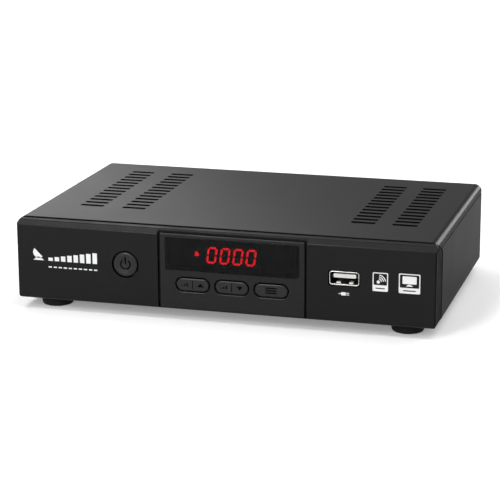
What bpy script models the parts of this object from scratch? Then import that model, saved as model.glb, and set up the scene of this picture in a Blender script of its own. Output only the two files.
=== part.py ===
"""Satellite television receiver in a painted metal case with a moulded front.

The case stands on four round feet. Its front faces -Y, its width lies along X and up is +Z.
The origin lies on the surface under the feet, below the middle of the whole object.
Every place is given by at(x, back, up): across the front from its middle, back from the
front face, and up from the underside of the case.
"""
import math

import bmesh
import bpy
from mathutils import Vector

mm = 0.001

# Fits and cuts
rest_gap = 0.3 * mm
slide_gap = 0.5 * mm
seam_gap = 0.5 * mm
window_gap = 0.2 * mm
overrun = 1.0 * mm
weld_distance = 0.01 * mm
screw_merge_distance = 0.01 * mm

# Case
case_width = 200 * mm
case_depth = 124 * mm
case_height = 39 * mm
sheet = 0.8 * mm
cover_edge_radius = 3.6 * mm
cover_lip = 0.1 * mm
floor_edge_radius = 1.5 * mm
foot_height = 5 * mm

# Front bezel
bezel_plate = 3 * mm
bezel_side_depth = 13.9 * mm
bezel_top_depth = 3.4 * mm
bezel_face_fall = 3.5 * mm
bezel_slope_depth = 2.2 * mm
bezel_slope_fall = 1.3 * mm
bezel_step = 0.4 * mm
bezel_crown_fall = 0.5 * mm
bezel_sweep_fall = 6.4 * mm
bezel_foot_radius = 2 * mm
bezel_front_radius = 1.5 * mm
lip_wall = 1.5 * mm
lip_reach = 4 * mm
lip_root = 2.6 * mm

# Plate in the middle of the front, its window and its keys
fascia_centre = 5.2 * mm
fascia_width = 68.9 * mm
fascia_foot = 0.6 * mm
fascia_fall = 3 * mm
fascia_plate = 1.5 * mm
groove_width = 1.0 * mm
window_margin = 2.4 * mm
window_foot = 18.6 * mm
window_fall = 4.5 * mm
window_corner = 1 * mm
window_ledge = 1.5 * mm
key_opening_height = 7 * mm
key_height = 12.3 * mm
key_pitch_share = 0.2714
key_rib = 2.1 * mm
key_edge = 0.45 * mm

# Buttons: caps, flanges and stems
power_centre = -46.2 * mm
power_height = 19.7 * mm
power_opening_radius = 6.5 * mm
power_edge = 0.7 * mm
power_dish = 0.2 * mm
flange_margin = 0.6 * mm
flange_thickness = 0.8 * mm
stem_radius = 1.5 * mm
press_travel = 0.5 * mm

# Press switches
switch_width = 6 * mm
switch_depth = 3.5 * mm
plunger_radius = 1.7 * mm
plunger_reach = 1.5 * mm
plunger_seat = 1.2 * mm
plunger_room = 0.3 * mm

# Front board and what it carries
front_board_depth = 14.2 * mm
board_thickness = 1.6 * mm
front_board_left = -63 * mm
front_board_right = 69 * mm
front_board_foot = 3.4 * mm
front_board_fall = 4 * mm
boss_radius = 2.6 * mm
boss_height = 8 * mm
boss_left = -57 * mm
boss_right = 46.5 * mm
module_centre = 4.7 * mm
module_width = 26.6 * mm
module_front = 1.9 * mm
module_depth = 7 * mm
indicator_centre = -12.1 * mm
indicator_radius = 1.5 * mm
indicator_dome = 0.9 * mm
receiver_centre = 27.5 * mm
receiver_width = 5.6 * mm
receiver_tall = 7 * mm
receiver_lens_radius = 2 * mm
receiver_lens_rise = 1.2 * mm
spacer_margin = 1.5 * mm

# Socket in the front
usb_centre = 57.9 * mm
usb_height = 20.5 * mm
usb_width = 13.7 * mm
usb_tall = 6.4 * mm
usb_corner = 1.3 * mm
usb_wall = 0.6 * mm
usb_front = 0.4 * mm
usb_depth = 13.4 * mm
usb_hole_gap = 0.5 * mm
usb_tongue_width = 10.4 * mm
usb_tongue_thickness = 1.9 * mm
usb_tongue_rise = 0.9 * mm
usb_tongue_front = 1.5 * mm
socket_base_depth = 3 * mm

# Vent slots in the cover
vent_left_insets = (26.5 * mm, 47.6 * mm)
vent_right_insets = (40.6 * mm, 20.9 * mm)
vent_length = 11.5 * mm
vent_width = 2.4 * mm
vent_corner = 0.5 * mm
vent_first_back = 31.5 * mm
vent_last_inset = 17.5 * mm
vent_rows = 13

# Rear flange of the cover and the panel behind it
cover_flange_height = 8 * mm
cover_flange_inset = 4 * mm
cover_screw_inset = 12 * mm
panel_foot_depth = 3.6 * mm

# Screws
screw_radius = 1.4 * mm
screw_head_radius = 2.8 * mm
screw_head_height = 1.6 * mm
screw_head_round = 0.6 * mm
board_screw_length = 6.2 * mm
cover_screw_length = 6 * mm

# Feet
foot_radius = 7.85 * mm
foot_taper = 0.5 * mm
foot_round = 1.2 * mm
foot_side_inset = 15 * mm
foot_front_inset = 12.5 * mm
foot_back_inset = 18 * mm

# Main board
standoff_height = 5 * mm
standoff_radius = 3.2 * mm
standoff_floor = 0.5 * mm
main_board_left_inset = 12 * mm
main_board_right_inset = 8 * mm
main_board_back_inset = 5 * mm
main_board_front = 46 * mm
board_screw_inset = 5 * mm

# Spaces between the tuner and the sockets along the back
rear_gap_shares = (27, 30, 42)

# Tuner and its two threaded connectors
tuner_inset = 8 * mm
tuner_width = 42 * mm
tuner_depth = 38 * mm
tuner_tall = 14 * mm
connector_spacing = 22 * mm
barrel_radius = 4.75 * mm
barrel_bore = 3.4 * mm
barrel_bore_depth = 7 * mm
barrel_collar_radius = 6 * mm
barrel_reach = 9 * mm
barrel_contact_radius = 0.5 * mm
barrel_contact_depth = 4 * mm
insulator_inset = 0.6 * mm

# Digital picture socket
hdmi_width = 15 * mm
hdmi_tall = 5.6 * mm
hdmi_wall = 0.5 * mm
hdmi_corner = 1.4 * mm
hdmi_depth = 11.5 * mm
hdmi_proud = 0.5 * mm
hdmi_tongue_width = 11.6 * mm
hdmi_tongue_thickness = 1.5 * mm
hdmi_tongue_inset = 1 * mm

# Round picture and sound sockets
jack_count = 3
jack_pitch = 14 * mm
jack_height = 8 * mm
jack_radius = 4.2 * mm
jack_wall = 0.6 * mm
jack_rim_depth = 1 * mm
jack_bore = 1.6 * mm
jack_bore_depth = 7 * mm
jack_reach = 8 * mm
av_block_depth = 12 * mm
av_block_tall = 13 * mm
av_block_margin = 6.5 * mm

# Power inlet
inlet_inset = 15.5 * mm
inlet_width = 9 * mm
inlet_tall = 11 * mm
inlet_depth = 13 * mm
inlet_bore = 3.2 * mm
inlet_pin = 1 * mm
inlet_bore_depth = 9 * mm
inlet_proud = 0.5 * mm

# Parts on the main board: from its right edge, and from its back edge or as a share of its depth
processor_inset = 70 * mm
processor_back_share = 0.36
processor_width = 18 * mm
processor_tall = 1.6 * mm
heatsink_width = 28 * mm
heatsink_tall = 12 * mm
heatsink_base = 2.4 * mm
heatsink_fins = 8
heatsink_fin = 1.2 * mm
memory_inset = 43 * mm
memory_back_share = 0.3
memory_width = 11 * mm
memory_depth = 13 * mm
memory_tall = 1.1 * mm
capacitor_inset = 32 * mm
capacitor_back_insets = (27 * mm, 14 * mm)
capacitor_radius = 4 * mm
capacitor_tall = 12 * mm
capacitor_round = 0.7 * mm
inductor_inset = 16 * mm
inductor_back_inset = 27 * mm
inductor_width = 12 * mm
inductor_tall = 6 * mm
inductor_round = 1.5 * mm

# Flat cable between the boards
cable_centre = -12 * mm
cable_width = 16 * mm
cable_thickness = 0.6 * mm
cable_rise = 6 * mm
cable_points = 12
header_margin = 2 * mm
header_depth = 4 * mm
header_tall = 5 * mm
front_header_foot = 10 * mm
main_header_inset = 6 * mm

# Facets of round shapes
corner_steps = 5
slot_corner_steps = 1
end_steps = 8
fine_sides = 32
plain_sides = 20
screw_sides = 12

# Sizes that follow from those above
overall_depth = case_depth + barrel_reach
face_y = -overall_depth / 2
base_z = foot_height
half_width = case_width / 2
cover_lip_foot = case_height - cover_edge_radius - cover_lip
wall_top = cover_lip_foot - seam_gap
lip_inset = sheet + rest_gap
bezel_face_height = case_height - bezel_face_fall
bezel_slope_height = case_height - bezel_slope_fall
bezel_step_height = bezel_slope_height + bezel_step
bezel_crown_height = case_height - bezel_crown_fall
bezel_sweep_height = case_height - bezel_sweep_fall
bezel_sweep_top = bezel_crown_height
lip_top = case_height - lip_inset
fascia_top = case_height - fascia_fall
recess_depth = fascia_plate + rest_gap
recess_top = fascia_top + groove_width
panel_rear = case_depth - sheet - rest_gap
panel_front = panel_rear - sheet
panel_foot = sheet + rest_gap
flange_front = bezel_plate + rest_gap
flange_back = flange_front + flange_thickness
switch_back = front_board_depth - rest_gap
switch_front = switch_back - switch_depth
plunger_front = switch_front - plunger_reach
stem_end = plunger_front - rest_gap
front_board_back = front_board_depth + board_thickness
module_back = module_front + module_depth
spacer_front = module_back + rest_gap
main_board_underside = sheet + standoff_height + rest_gap
main_board_top = main_board_underside + board_thickness
seat_height = main_board_top + rest_gap
socket_seat_back = panel_front - rest_gap
barrel_height = seat_height + tuner_tall / 2
front_header_back = front_board_back + rest_gap
window_width = fascia_width - 2 * window_margin
window_top = case_height - window_fall
module_height = (window_foot + window_top) / 2
module_tall = window_top - window_foot - 2 * window_ledge - slide_gap
front_board_top = case_height - front_board_fall
key_pitch = fascia_width * key_pitch_share
key_opening_width = key_pitch - key_rib
vent_pitch = (case_depth - vent_first_back - vent_last_inset) / (vent_rows - 1)
main_board_left = -half_width + main_board_left_inset
main_board_right = half_width - main_board_right_inset
main_board_back = case_depth - main_board_back_inset
main_header_back = main_board_front + main_header_inset
main_board_depth = main_board_back - main_board_front
processor_back_inset = main_board_depth * (1 - processor_back_share)
memory_back_inset = main_board_depth * (1 - memory_back_share)
av_block_width = (jack_count - 1) * jack_pitch + 2 * av_block_margin
tuner_left = main_board_left + tuner_inset
tuner_right = tuner_left + tuner_width
inlet_right = main_board_right - inlet_inset
inlet_centre = inlet_right - inlet_width / 2
rear_room = inlet_right - inlet_width - tuner_right - hdmi_width - av_block_width
rear_gap_share = rear_room / sum(rear_gap_shares)
hdmi_centre = tuner_right + rear_gap_share * rear_gap_shares[0] + hdmi_width / 2
av_block_left = hdmi_centre + hdmi_width / 2 + rear_gap_share * rear_gap_shares[1]


def at(across, back, up):
    """World place of a point: across from the middle, back from the face, up from the underside."""
    return Vector((across, face_y + back, base_z + up))


def clear_objects():
    """Removes every object, so that the file holds only this model."""
    for found in list(bpy.data.objects):
        bpy.data.objects.remove(found, do_unlink=True)


def new_collection(name):
    made = bpy.data.collections.new(name)
    bpy.context.scene.collection.children.link(made)
    return made


def finish(name, colour, roughness, metallic=0.0, glow=0.0):
    """A material: its colour, how rough it is, whether it is metal and how much it glows."""
    material = bpy.data.materials.new(name)
    material.use_nodes = True
    shader = material.node_tree.nodes["Principled BSDF"]
    shader.inputs["Base Color"].default_value = (*colour, 1.0)
    shader.inputs["Roughness"].default_value = roughness
    shader.inputs["Metallic"].default_value = metallic
    shader.inputs["Emission Color"].default_value = (*colour, 1.0)
    shader.inputs["Emission Strength"].default_value = glow
    return material


def add_object(name, mesh, material):
    """Puts a mesh in the receiver's collection, or a cutter's mesh in that of the cutters."""
    made = bpy.data.objects.new(name, mesh)
    if material is None:
        cutters.objects.link(made)
        made.hide_render = True
        made.display_type = "WIRE"
    else:
        receiver.objects.link(made)
        mesh.materials.append(material)
    return made


def block(name, low, high, material=None):
    """A box between two opposite corners."""
    mesh = bpy.data.meshes.new(name)
    shape = bmesh.new()
    bmesh.ops.create_cube(shape, size=1)
    bmesh.ops.scale(shape, vec=high - low, verts=shape.verts)
    shape.to_mesh(mesh)
    shape.free()
    made = add_object(name, mesh, material)
    made.location = (low + high) / 2
    return made


def rod(name, start, end, radius, material=None, sides=plain_sides):
    """A round bar from one point to another."""
    mesh = bpy.data.meshes.new(name)
    shape = bmesh.new()
    bmesh.ops.create_cone(
        shape, cap_ends=True, segments=sides, radius1=radius, radius2=radius, depth=(end - start).length
    )
    shape.to_mesh(mesh)
    shape.free()
    made = add_object(name, mesh, material)
    made.location = (start + end) / 2
    made.rotation_mode = "QUATERNION"
    made.rotation_quaternion = (end - start).to_track_quat("Z", "Y")
    shade_round(mesh)
    return made


def shade_round(mesh):
    mesh.shade_smooth()
    mesh.set_sharp_from_angle(angle=math.radians(40))


to_front = (math.radians(90), 0, 0)
to_back = (math.radians(-90), 0, 0)
to_side = (math.radians(90), 0, math.radians(90))
upright = (0, 0, 0)


def turned(name, profile, place, facing, material=None, steps=plain_sides):
    """A turned piece: its profile runs from the axis out and down its outer side, back to the axis."""
    mesh = bpy.data.meshes.new(name)
    points = [(radius, 0, height) for radius, height in profile]
    mesh.from_pydata(points, [(i, i + 1) for i in range(len(points) - 1)], [])
    made = add_object(name, mesh, material)
    made.location = place
    made.rotation_euler = facing
    screw = made.modifiers.new("turn", "SCREW")
    screw.angle = math.radians(360)
    screw.steps = steps
    screw.render_steps = steps
    screw.use_merge_vertices = True
    screw.merge_threshold = screw_merge_distance
    screw.use_smooth_shade = True
    return made


def arc(across, up, radius, first, last, steps):
    """Points of an arc about (across, up), from one angle to another in degrees."""
    points = []
    for i in range(steps + 1):
        angle = math.radians(first + (last - first) * i / steps)
        points.append((across + radius * math.cos(angle), up + radius * math.sin(angle)))
    return points


def rounded_outline(left, right, foot, top, foot_radius, top_radius, steps=corner_steps):
    """A rectangle whose two lower and two upper corners are rounded."""
    points = arc(right - foot_radius, foot + foot_radius, foot_radius, -90, 0, steps)
    points += arc(right - top_radius, top - top_radius, top_radius, 0, 90, steps)
    points += arc(left + top_radius, top - top_radius, top_radius, 90, 180, steps)
    points += arc(left + foot_radius, foot + foot_radius, foot_radius, 180, 270, steps)
    return points


def centred_outline(across, up, width, height, radius, steps=corner_steps):
    return rounded_outline(
        across - width / 2, across + width / 2, up - height / 2, up + height / 2, radius, radius, steps
    )


def stadium(across, up, width, height):
    """An outline with round ends."""
    radius = height / 2
    points = arc(across + width / 2 - radius, up, radius, -90, 90, end_steps)
    points += arc(across - width / 2 + radius, up, radius, 90, 270, end_steps)
    return points


def circle(across, up, radius, sides=plain_sides):
    return arc(across, up, radius, 0, 360, sides)[:-1]


def plate(name, outlines, thickness, place, facing, material=None):
    """A flat piece cut to an outline. An outline inside another is a hole in it."""
    curve = bpy.data.curves.new(name, "CURVE")
    curve.dimensions = "2D"
    curve.fill_mode = "BOTH"
    curve.extrude = thickness / 2
    for outline in outlines:
        spline = curve.splines.new("POLY")
        spline.points.add(len(outline) - 1)
        for point, (across, up) in zip(spline.points, outline):
            point.co = (across, up, 0, 1)
        spline.use_cyclic_u = True
    guide = bpy.data.objects.new(name + "_outline", curve)
    bpy.context.scene.collection.objects.link(guide)
    mesh = bpy.data.meshes.new_from_object(guide.evaluated_get(bpy.context.evaluated_depsgraph_get()))
    bpy.data.objects.remove(guide, do_unlink=True)
    bpy.data.curves.remove(curve)
    mesh.name = name
    shape = bmesh.new()
    shape.from_mesh(mesh)
    bmesh.ops.remove_doubles(shape, verts=shape.verts, dist=weld_distance)
    bmesh.ops.recalc_face_normals(shape, faces=shape.faces)
    shape.to_mesh(mesh)
    shape.free()
    made = add_object(name, mesh, material)
    made.location = place
    made.rotation_euler = facing
    return made


def front_plate(name, outlines, front, back, material=None):
    """A plate that stands parallel to the front, between two distances back from the face."""
    return plate(name, outlines, back - front, at(0, (front + back) / 2, 0), to_front, material)


def cut(target, cutter):
    boolean = target.modifiers.new("cut " + cutter.name, "BOOLEAN")
    boolean.operation = "DIFFERENCE"
    boolean.object = cutter
    return target


def trim(target, keeper):
    """Keeps only what lies inside another shape."""
    boolean = target.modifiers.new("trim " + keeper.name, "BOOLEAN")
    boolean.operation = "INTERSECT"
    boolean.object = keeper
    return target


def join(target, addition):
    boolean = target.modifiers.new("join " + addition.name, "BOOLEAN")
    boolean.operation = "UNION"
    boolean.object = addition
    return target


def soften(target, width, segments=2):
    bevel = target.modifiers.new("soft edges", "BEVEL")
    bevel.width = width
    bevel.segments = segments
    bevel.limit_method = "ANGLE"
    return target


def front_edge_line(offset):
    """Side view of the bezel's rear edge, moved back by an offset: straight up, swept, straight up."""
    return [
        (bezel_side_depth + offset, -overrun),
        (bezel_side_depth + offset, bezel_sweep_height),
        (bezel_top_depth + offset, bezel_sweep_top),
        (bezel_top_depth + offset, case_height + overrun),
    ]


def make_bezel():
    """Moulded front: a plate with returns, a sloping band on top and a lip that enters the case."""
    side_view = [
        (0, 0),
        (bezel_side_depth + overrun, 0),
        (bezel_side_depth + overrun, bezel_crown_height),
        (bezel_top_depth, bezel_crown_height),
        (bezel_slope_depth, bezel_step_height),
        (bezel_slope_depth, bezel_slope_height),
        (0, bezel_face_height),
    ]
    bezel = plate("front_bezel", [side_view], case_width, at(0, 0, 0), to_side, black_plastic)
    front_view = rounded_outline(
        -half_width, half_width, 0, case_height, bezel_foot_radius, cover_edge_radius
    )
    trim(bezel, front_plate("bezel_front_view", [front_view], -overrun, case_depth))
    plan_view = rounded_outline(
        -half_width, half_width, 0, case_depth, bezel_front_radius, bezel_front_radius
    )
    plan_height = case_height + 2 * overrun
    plan = plate("bezel_plan_view", [plan_view], plan_height, at(0, 0, case_height / 2), upright)
    trim(bezel, plan)
    rear = front_edge_line(0) + [(case_depth, case_height + overrun), (case_depth, -overrun)]
    cut(bezel, plate("bezel_rear_room", [rear], case_width + overrun, at(0, 0, 0), to_side))

    lip_back = bezel_side_depth + lip_reach
    lip = rounded_outline(
        -half_width + lip_inset,
        half_width - lip_inset,
        lip_inset,
        lip_top,
        bezel_foot_radius - lip_inset,
        cover_edge_radius - lip_inset,
    )
    join(bezel, front_plate("bezel_lip", [lip], lip_root, lip_back))
    room_inset = lip_inset + lip_wall
    room = rounded_outline(
        -half_width + room_inset,
        half_width - room_inset,
        room_inset,
        lip_top - lip_wall,
        lip_wall,
        lip_wall,
    )
    cut(bezel, front_plate("bezel_room", [room], bezel_plate, case_depth))
    for across in (boss_left, boss_right):
        start = at(across, bezel_plate - overrun, boss_height)
        end = at(across, switch_back, boss_height)
        join(bezel, rod("bezel_boss", start, end, boss_radius))
    half_recess = fascia_width / 2 + groove_width
    recess = block(
        "fascia_recess",
        at(fascia_centre - half_recess, -overrun, -overrun),
        at(fascia_centre + half_recess, recess_depth, recess_top),
    )
    cut(bezel, recess)
    openings = [
        circle(power_centre, power_height, power_opening_radius, fine_sides),
        centred_outline(
            usb_centre,
            usb_height,
            usb_width + 2 * usb_hole_gap,
            usb_tall + 2 * usb_hole_gap,
            usb_corner,
            slot_corner_steps,
        ),
        rounded_outline(
            fascia_centre - window_width / 2 + window_ledge,
            fascia_centre + window_width / 2 - window_ledge,
            window_foot + window_ledge,
            window_top - window_ledge,
            window_corner,
            window_corner,
        ),
    ]
    openings += [key_outline(across, 0) for across in key_centres()]
    cut(bezel, front_plate("bezel_openings", openings, -overrun, bezel_plate + overrun / 2))
    for across in (boss_left, boss_right):
        start = at(across, bezel_plate + overrun, boss_height)
        end = at(across, front_board_depth + overrun, boss_height)
        cut(bezel, rod("boss_hole", start, end, screw_radius + rest_gap))
    return bezel


def key_centres():
    return [fascia_centre + place * key_pitch for place in (-1, 0, 1)]


def key_outline(across, margin):
    """The outline of a key's opening, grown by a margin all round."""
    return stadium(
        across, key_height, key_opening_width + 2 * margin, key_opening_height + 2 * margin
    )


def make_fascia():
    """Glossy plate with the window's and the keys' openings, and the smoked window in it."""
    left = fascia_centre - fascia_width / 2
    right = fascia_centre + fascia_width / 2
    outline = [(left, fascia_foot), (right, fascia_foot), (right, fascia_top), (left, fascia_top)]
    window_opening = rounded_outline(
        fascia_centre - window_width / 2,
        fascia_centre + window_width / 2,
        window_foot,
        window_top,
        window_corner,
        window_corner,
    )
    openings = [window_opening] + [key_outline(across, 0) for across in key_centres()]
    fascia = front_plate("centre_fascia", [outline], 0, fascia_plate, gloss_plastic)
    cut(fascia, front_plate("fascia_openings", openings, -overrun, fascia_plate + overrun))
    window = rounded_outline(
        fascia_centre - window_width / 2 + window_gap,
        fascia_centre + window_width / 2 - window_gap,
        window_foot + window_gap,
        window_top - window_gap,
        window_corner - window_gap,
        window_corner - window_gap,
    )
    front_plate("display_window", [window], 0, fascia_plate, smoked_window)


def make_power_button():
    """Round cap with a dished face, a flange behind the front and a stem."""
    cap = power_opening_radius - slide_gap
    flange = power_opening_radius + flange_margin
    profile = [
        (0, -power_dish),
        (cap - power_edge, 0),
        (cap - power_edge / 3, -power_edge / 3),
        (cap, -power_edge),
        (cap, -flange_front),
        (flange, -flange_front),
        (flange, -flange_back),
        (stem_radius, -flange_back),
        (stem_radius, -stem_end),
        (0, -stem_end),
    ]
    turned("power_button", profile, at(power_centre, 0, power_height), to_front, key_plastic, fine_sides)


def make_key(name, across):
    """Round-ended cap with soft edges, a flange behind the front and a stem."""
    inner = (flange_front + flange_back) / 2
    place = at(across, inner / 2, key_height)
    cap = stadium(0, 0, key_opening_width - 2 * slide_gap, key_opening_height - 2 * slide_gap)
    key = plate(name, [cap], inner, place, to_front, key_plastic)
    soften(key, key_edge)
    flange = key_outline(across, flange_margin)
    join(key, front_plate(name + "_flange", [flange], flange_front, flange_back))
    start = at(across, inner, key_height)
    end = at(across, stem_end, key_height)
    join(key, rod(name + "_stem", start, end, stem_radius))


def make_switch(name, across, up):
    """A press switch on the front board, and the pin that its button pushes."""
    half = switch_width / 2
    low = at(across - half, switch_front, up - half)
    high = at(across + half, switch_back, up + half)
    body = block(name + "_switch", low, high, black_plastic)
    seat = plunger_seat + press_travel + plunger_room
    pocket_end = at(across, switch_front + seat, up)
    pocket_start = at(across, switch_front - overrun, up)
    cut(body, rod(name + "_pocket", pocket_start, pocket_end, plunger_radius + rest_gap))
    pin_start = at(across, plunger_front, up)
    pin_end = at(across, switch_front + plunger_seat, up)
    rod(name + "_plunger", pin_start, pin_end, plunger_radius, black_plastic)


def make_front_board():
    """Upright board behind the front, with the display, its indicator and the infrared receiver."""
    board = block(
        "front_board",
        at(front_board_left, front_board_depth, front_board_foot),
        at(front_board_right, front_board_back, front_board_top),
        circuit_board,
    )
    for across in (boss_left, boss_right):
        start = at(across, front_board_depth - overrun, boss_height)
        end = at(across, front_board_back + overrun, boss_height)
        cut(board, rod("front_board_hole", start, end, screw_radius + rest_gap))
    for side, across in (("left", boss_left), ("right", boss_right)):
        place = at(across, front_board_back + rest_gap, boss_height)
        make_screw("front_board_screw_" + side, place, to_back, board_screw_length)
    block(
        "display_spacer",
        at(
            indicator_centre - indicator_radius - spacer_margin,
            spacer_front,
            module_height - module_tall / 2,
        ),
        at(
            receiver_centre + receiver_width / 2 + spacer_margin,
            switch_back,
            module_height + module_tall / 2,
        ),
        black_plastic,
    )
    block(
        "display_module",
        at(module_centre - module_width / 2, module_front, module_height - module_tall / 2),
        at(module_centre + module_width / 2, module_back, module_height + module_tall / 2),
        red_display,
    )
    indicator = [
        (0, 0),
        (indicator_radius * math.sin(math.radians(45)), -indicator_dome / 3),
        (indicator_radius, -indicator_dome),
        (indicator_radius, -module_depth),
        (0, -module_depth),
    ]
    place = at(indicator_centre, module_front, module_height)
    turned("status_led", indicator, place, to_front, red_display)
    lens_front = module_front + receiver_lens_rise
    receiver_block = block(
        "infrared_receiver",
        at(receiver_centre - receiver_width / 2, lens_front, module_height - receiver_tall / 2),
        at(receiver_centre + receiver_width / 2, module_back, module_height + receiver_tall / 2),
        black_plastic,
    )
    lens = [
        (0, 0),
        (receiver_lens_radius * math.sin(math.radians(45)), -receiver_lens_rise / 3),
        (receiver_lens_radius, -receiver_lens_rise),
        (receiver_lens_radius, -receiver_lens_rise - overrun),
        (0, -receiver_lens_rise - overrun),
    ]
    lens_place = at(receiver_centre, module_front, module_height)
    join(receiver_block, turned("receiver_lens", lens, lens_place, to_front))


def socket_outline(across, up, width, tall, foot_corner, top_corner):
    """A flat socket's outline: a rectangle whose lower and upper corners are cut off."""
    left = across - width / 2
    right = across + width / 2
    foot = up - tall / 2
    top = up + tall / 2
    return rounded_outline(left, right, foot, top, foot_corner, top_corner, slot_corner_steps)


def make_usb_socket():
    """Metal socket in the front, with its white contact tongue."""
    back = usb_front + usb_depth
    outline = socket_outline(usb_centre, usb_height, usb_width, usb_tall, usb_corner, usb_corner)
    shell = front_plate("usb_shell", [outline], usb_front, back, bright_metal)
    inner_width = usb_width - 2 * usb_wall
    inner_tall = usb_tall - 2 * usb_wall
    inner_corner = usb_corner - usb_wall / 2
    room = socket_outline(usb_centre, usb_height, inner_width, inner_tall, inner_corner, inner_corner)
    cut(shell, front_plate("usb_room", [room], usb_front - overrun, back - usb_wall))
    base_back = back - usb_wall - rest_gap
    half_base_width = usb_width / 2 - usb_corner
    half_base_tall = usb_tall / 2 - usb_wall - rest_gap
    tongue = block(
        "usb_tongue",
        at(usb_centre - half_base_width, base_back - socket_base_depth, usb_height - half_base_tall),
        at(usb_centre + half_base_width, base_back, usb_height + half_base_tall),
        white_plastic,
    )
    middle = usb_height + usb_tongue_rise
    blade = block(
        "usb_blade",
        at(usb_centre - usb_tongue_width / 2, usb_tongue_front, middle - usb_tongue_thickness / 2),
        at(usb_centre + usb_tongue_width / 2, base_back - overrun, middle + usb_tongue_thickness / 2),
    )
    join(tongue, blade)


def make_cover():
    """Folded metal cover: rounded side edges, short lips, a rear flange and the vent slots."""
    radius = cover_edge_radius
    across = half_width - radius
    up = case_height - radius
    outer = [(half_width, cover_lip_foot)]
    outer += arc(across, up, radius, 0, 90, corner_steps)
    outer += arc(-across, up, radius, 90, 180, corner_steps)
    outer += [(-half_width, cover_lip_foot)]
    inner = [(-half_width + sheet, cover_lip_foot)]
    inner += arc(-across, up, radius - sheet, 180, 90, corner_steps)
    inner += arc(across, up, radius - sheet, 90, 0, corner_steps)
    inner += [(half_width - sheet, cover_lip_foot)]
    cover = front_plate("top_cover", [outer + inner], 0, case_depth, black_paint)
    flange = block(
        "cover_flange",
        at(-half_width + cover_flange_inset, case_depth - sheet, case_height - cover_flange_height),
        at(half_width - cover_flange_inset, case_depth, case_height - sheet / 2),
    )
    join(cover, flange)
    cut(cover, front_room)
    slots = []
    columns = [-half_width + inset for inset in vent_left_insets]
    columns += [half_width - inset for inset in vent_right_insets]
    for across in columns:
        for row in range(vent_rows):
            back = vent_first_back + row * vent_pitch
            slots.append(
                centred_outline(across, back, vent_length, vent_width, vent_corner, slot_corner_steps)
            )
    vents = plate("vent_slots", slots, sheet + 2 * overrun, at(0, 0, case_height - sheet / 2), upright)
    cut(cover, vents)
    for across in cover_screw_centres():
        start = at(across, case_depth - sheet - overrun / 3, cover_screw_height())
        end = at(across, case_depth + overrun, cover_screw_height())
        cut(cover, rod("cover_hole", start, end, screw_radius + rest_gap))


def cover_screw_centres():
    return (-half_width + cover_screw_inset, half_width - cover_screw_inset)


def cover_screw_height():
    return case_height - cover_flange_height / 2 - sheet / 2


def board_screw_places():
    """Places of the main board's four screws, across and back."""
    rows = (main_board_front + board_screw_inset, main_board_back - board_screw_inset)
    columns = (main_board_left + board_screw_inset, main_board_right - board_screw_inset)
    return [(across, back) for back in rows for across in columns]


def make_chassis():
    """Folded metal tray whose side walls meet the cover, with the main board's standoffs."""
    radius = floor_edge_radius
    outer = [(-half_width, wall_top)]
    outer += arc(-half_width + radius, radius, radius, 180, 270, corner_steps)
    outer += arc(half_width - radius, radius, radius, 270, 360, corner_steps)
    outer += [(half_width, wall_top)]
    inner = [(half_width - sheet, wall_top)]
    inner += arc(half_width - radius, radius, radius - sheet, 360, 270, corner_steps)
    inner += arc(-half_width + radius, radius, radius - sheet, 270, 180, corner_steps)
    inner += [(-half_width + sheet, wall_top)]
    chassis = front_plate("bottom_chassis", [outer + inner], 0, case_depth, black_paint)
    cut(chassis, front_room)
    for across, back in board_screw_places():
        start = at(across, back, sheet / 2)
        end = at(across, back, sheet + standoff_height)
        join(chassis, rod("standoff", start, end, standoff_radius))
        hole_start = at(across, back, sheet + standoff_floor)
        hole_end = at(across, back, sheet + standoff_height + overrun)
        cut(chassis, rod("standoff_hole", hole_start, hole_end, screw_radius + rest_gap))


def make_rear_panel():
    """Upright metal panel at the back, with the sockets' openings and a foot on the tray's floor."""
    half = half_width - sheet - rest_gap
    foot_middle = panel_foot + sheet / 2
    outline = rounded_outline(
        -half, half, foot_middle, lip_top, floor_edge_radius - sheet, cover_edge_radius - sheet
    )
    jack_up = seat_height + jack_height
    holes = [circle(across, barrel_height, barrel_radius + slide_gap) for across in connector_centres()]
    holes += [circle(across, jack_up, jack_radius + slide_gap) for across in jack_centres()]
    holes.append(
        centred_outline(
            hdmi_centre,
            seat_height + hdmi_tall / 2,
            hdmi_width + 2 * slide_gap,
            hdmi_tall + 2 * slide_gap,
            hdmi_corner,
            slot_corner_steps,
        )
    )
    holes.append(
        centred_outline(
            inlet_centre,
            seat_height + inlet_tall / 2,
            inlet_width + 2 * slide_gap,
            inlet_tall + 2 * slide_gap,
            vent_corner,
            slot_corner_steps,
        )
    )
    hole = screw_radius + rest_gap
    holes += [circle(across, cover_screw_height(), hole) for across in cover_screw_centres()]
    panel = front_plate("rear_panel", [outline], panel_front, panel_rear, black_paint)
    cut(panel, front_plate("panel_openings", holes, panel_front - overrun, panel_rear + overrun))
    foot_half = half - cover_flange_inset
    foot = block(
        "rear_panel_foot",
        at(-foot_half, panel_front - panel_foot_depth, panel_foot),
        at(foot_half, panel_front + sheet / 2, panel_foot + sheet),
    )
    join(panel, foot)


def make_screw(name, place, facing, length):
    """A pan-head screw. Its place is under the middle of its head, and it faces its head's side."""
    profile = [
        (0, screw_head_height),
        (screw_head_radius - screw_head_round, screw_head_height),
        (screw_head_radius, screw_head_height - screw_head_round),
        (screw_head_radius, 0),
        (screw_radius, 0),
        (screw_radius, -length),
        (0, -length),
    ]
    turned(name, profile, place, facing, bright_metal, screw_sides)


def make_fasteners():
    for number, (across, back) in enumerate(board_screw_places(), start=1):
        place = at(across, back, seat_height)
        make_screw(f"main_board_screw_{number}", place, upright, board_screw_length)
    for side, across in zip(("left", "right"), cover_screw_centres()):
        place = at(across, case_depth + rest_gap, cover_screw_height())
        make_screw("cover_screw_" + side, place, to_back, cover_screw_length)


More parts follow.
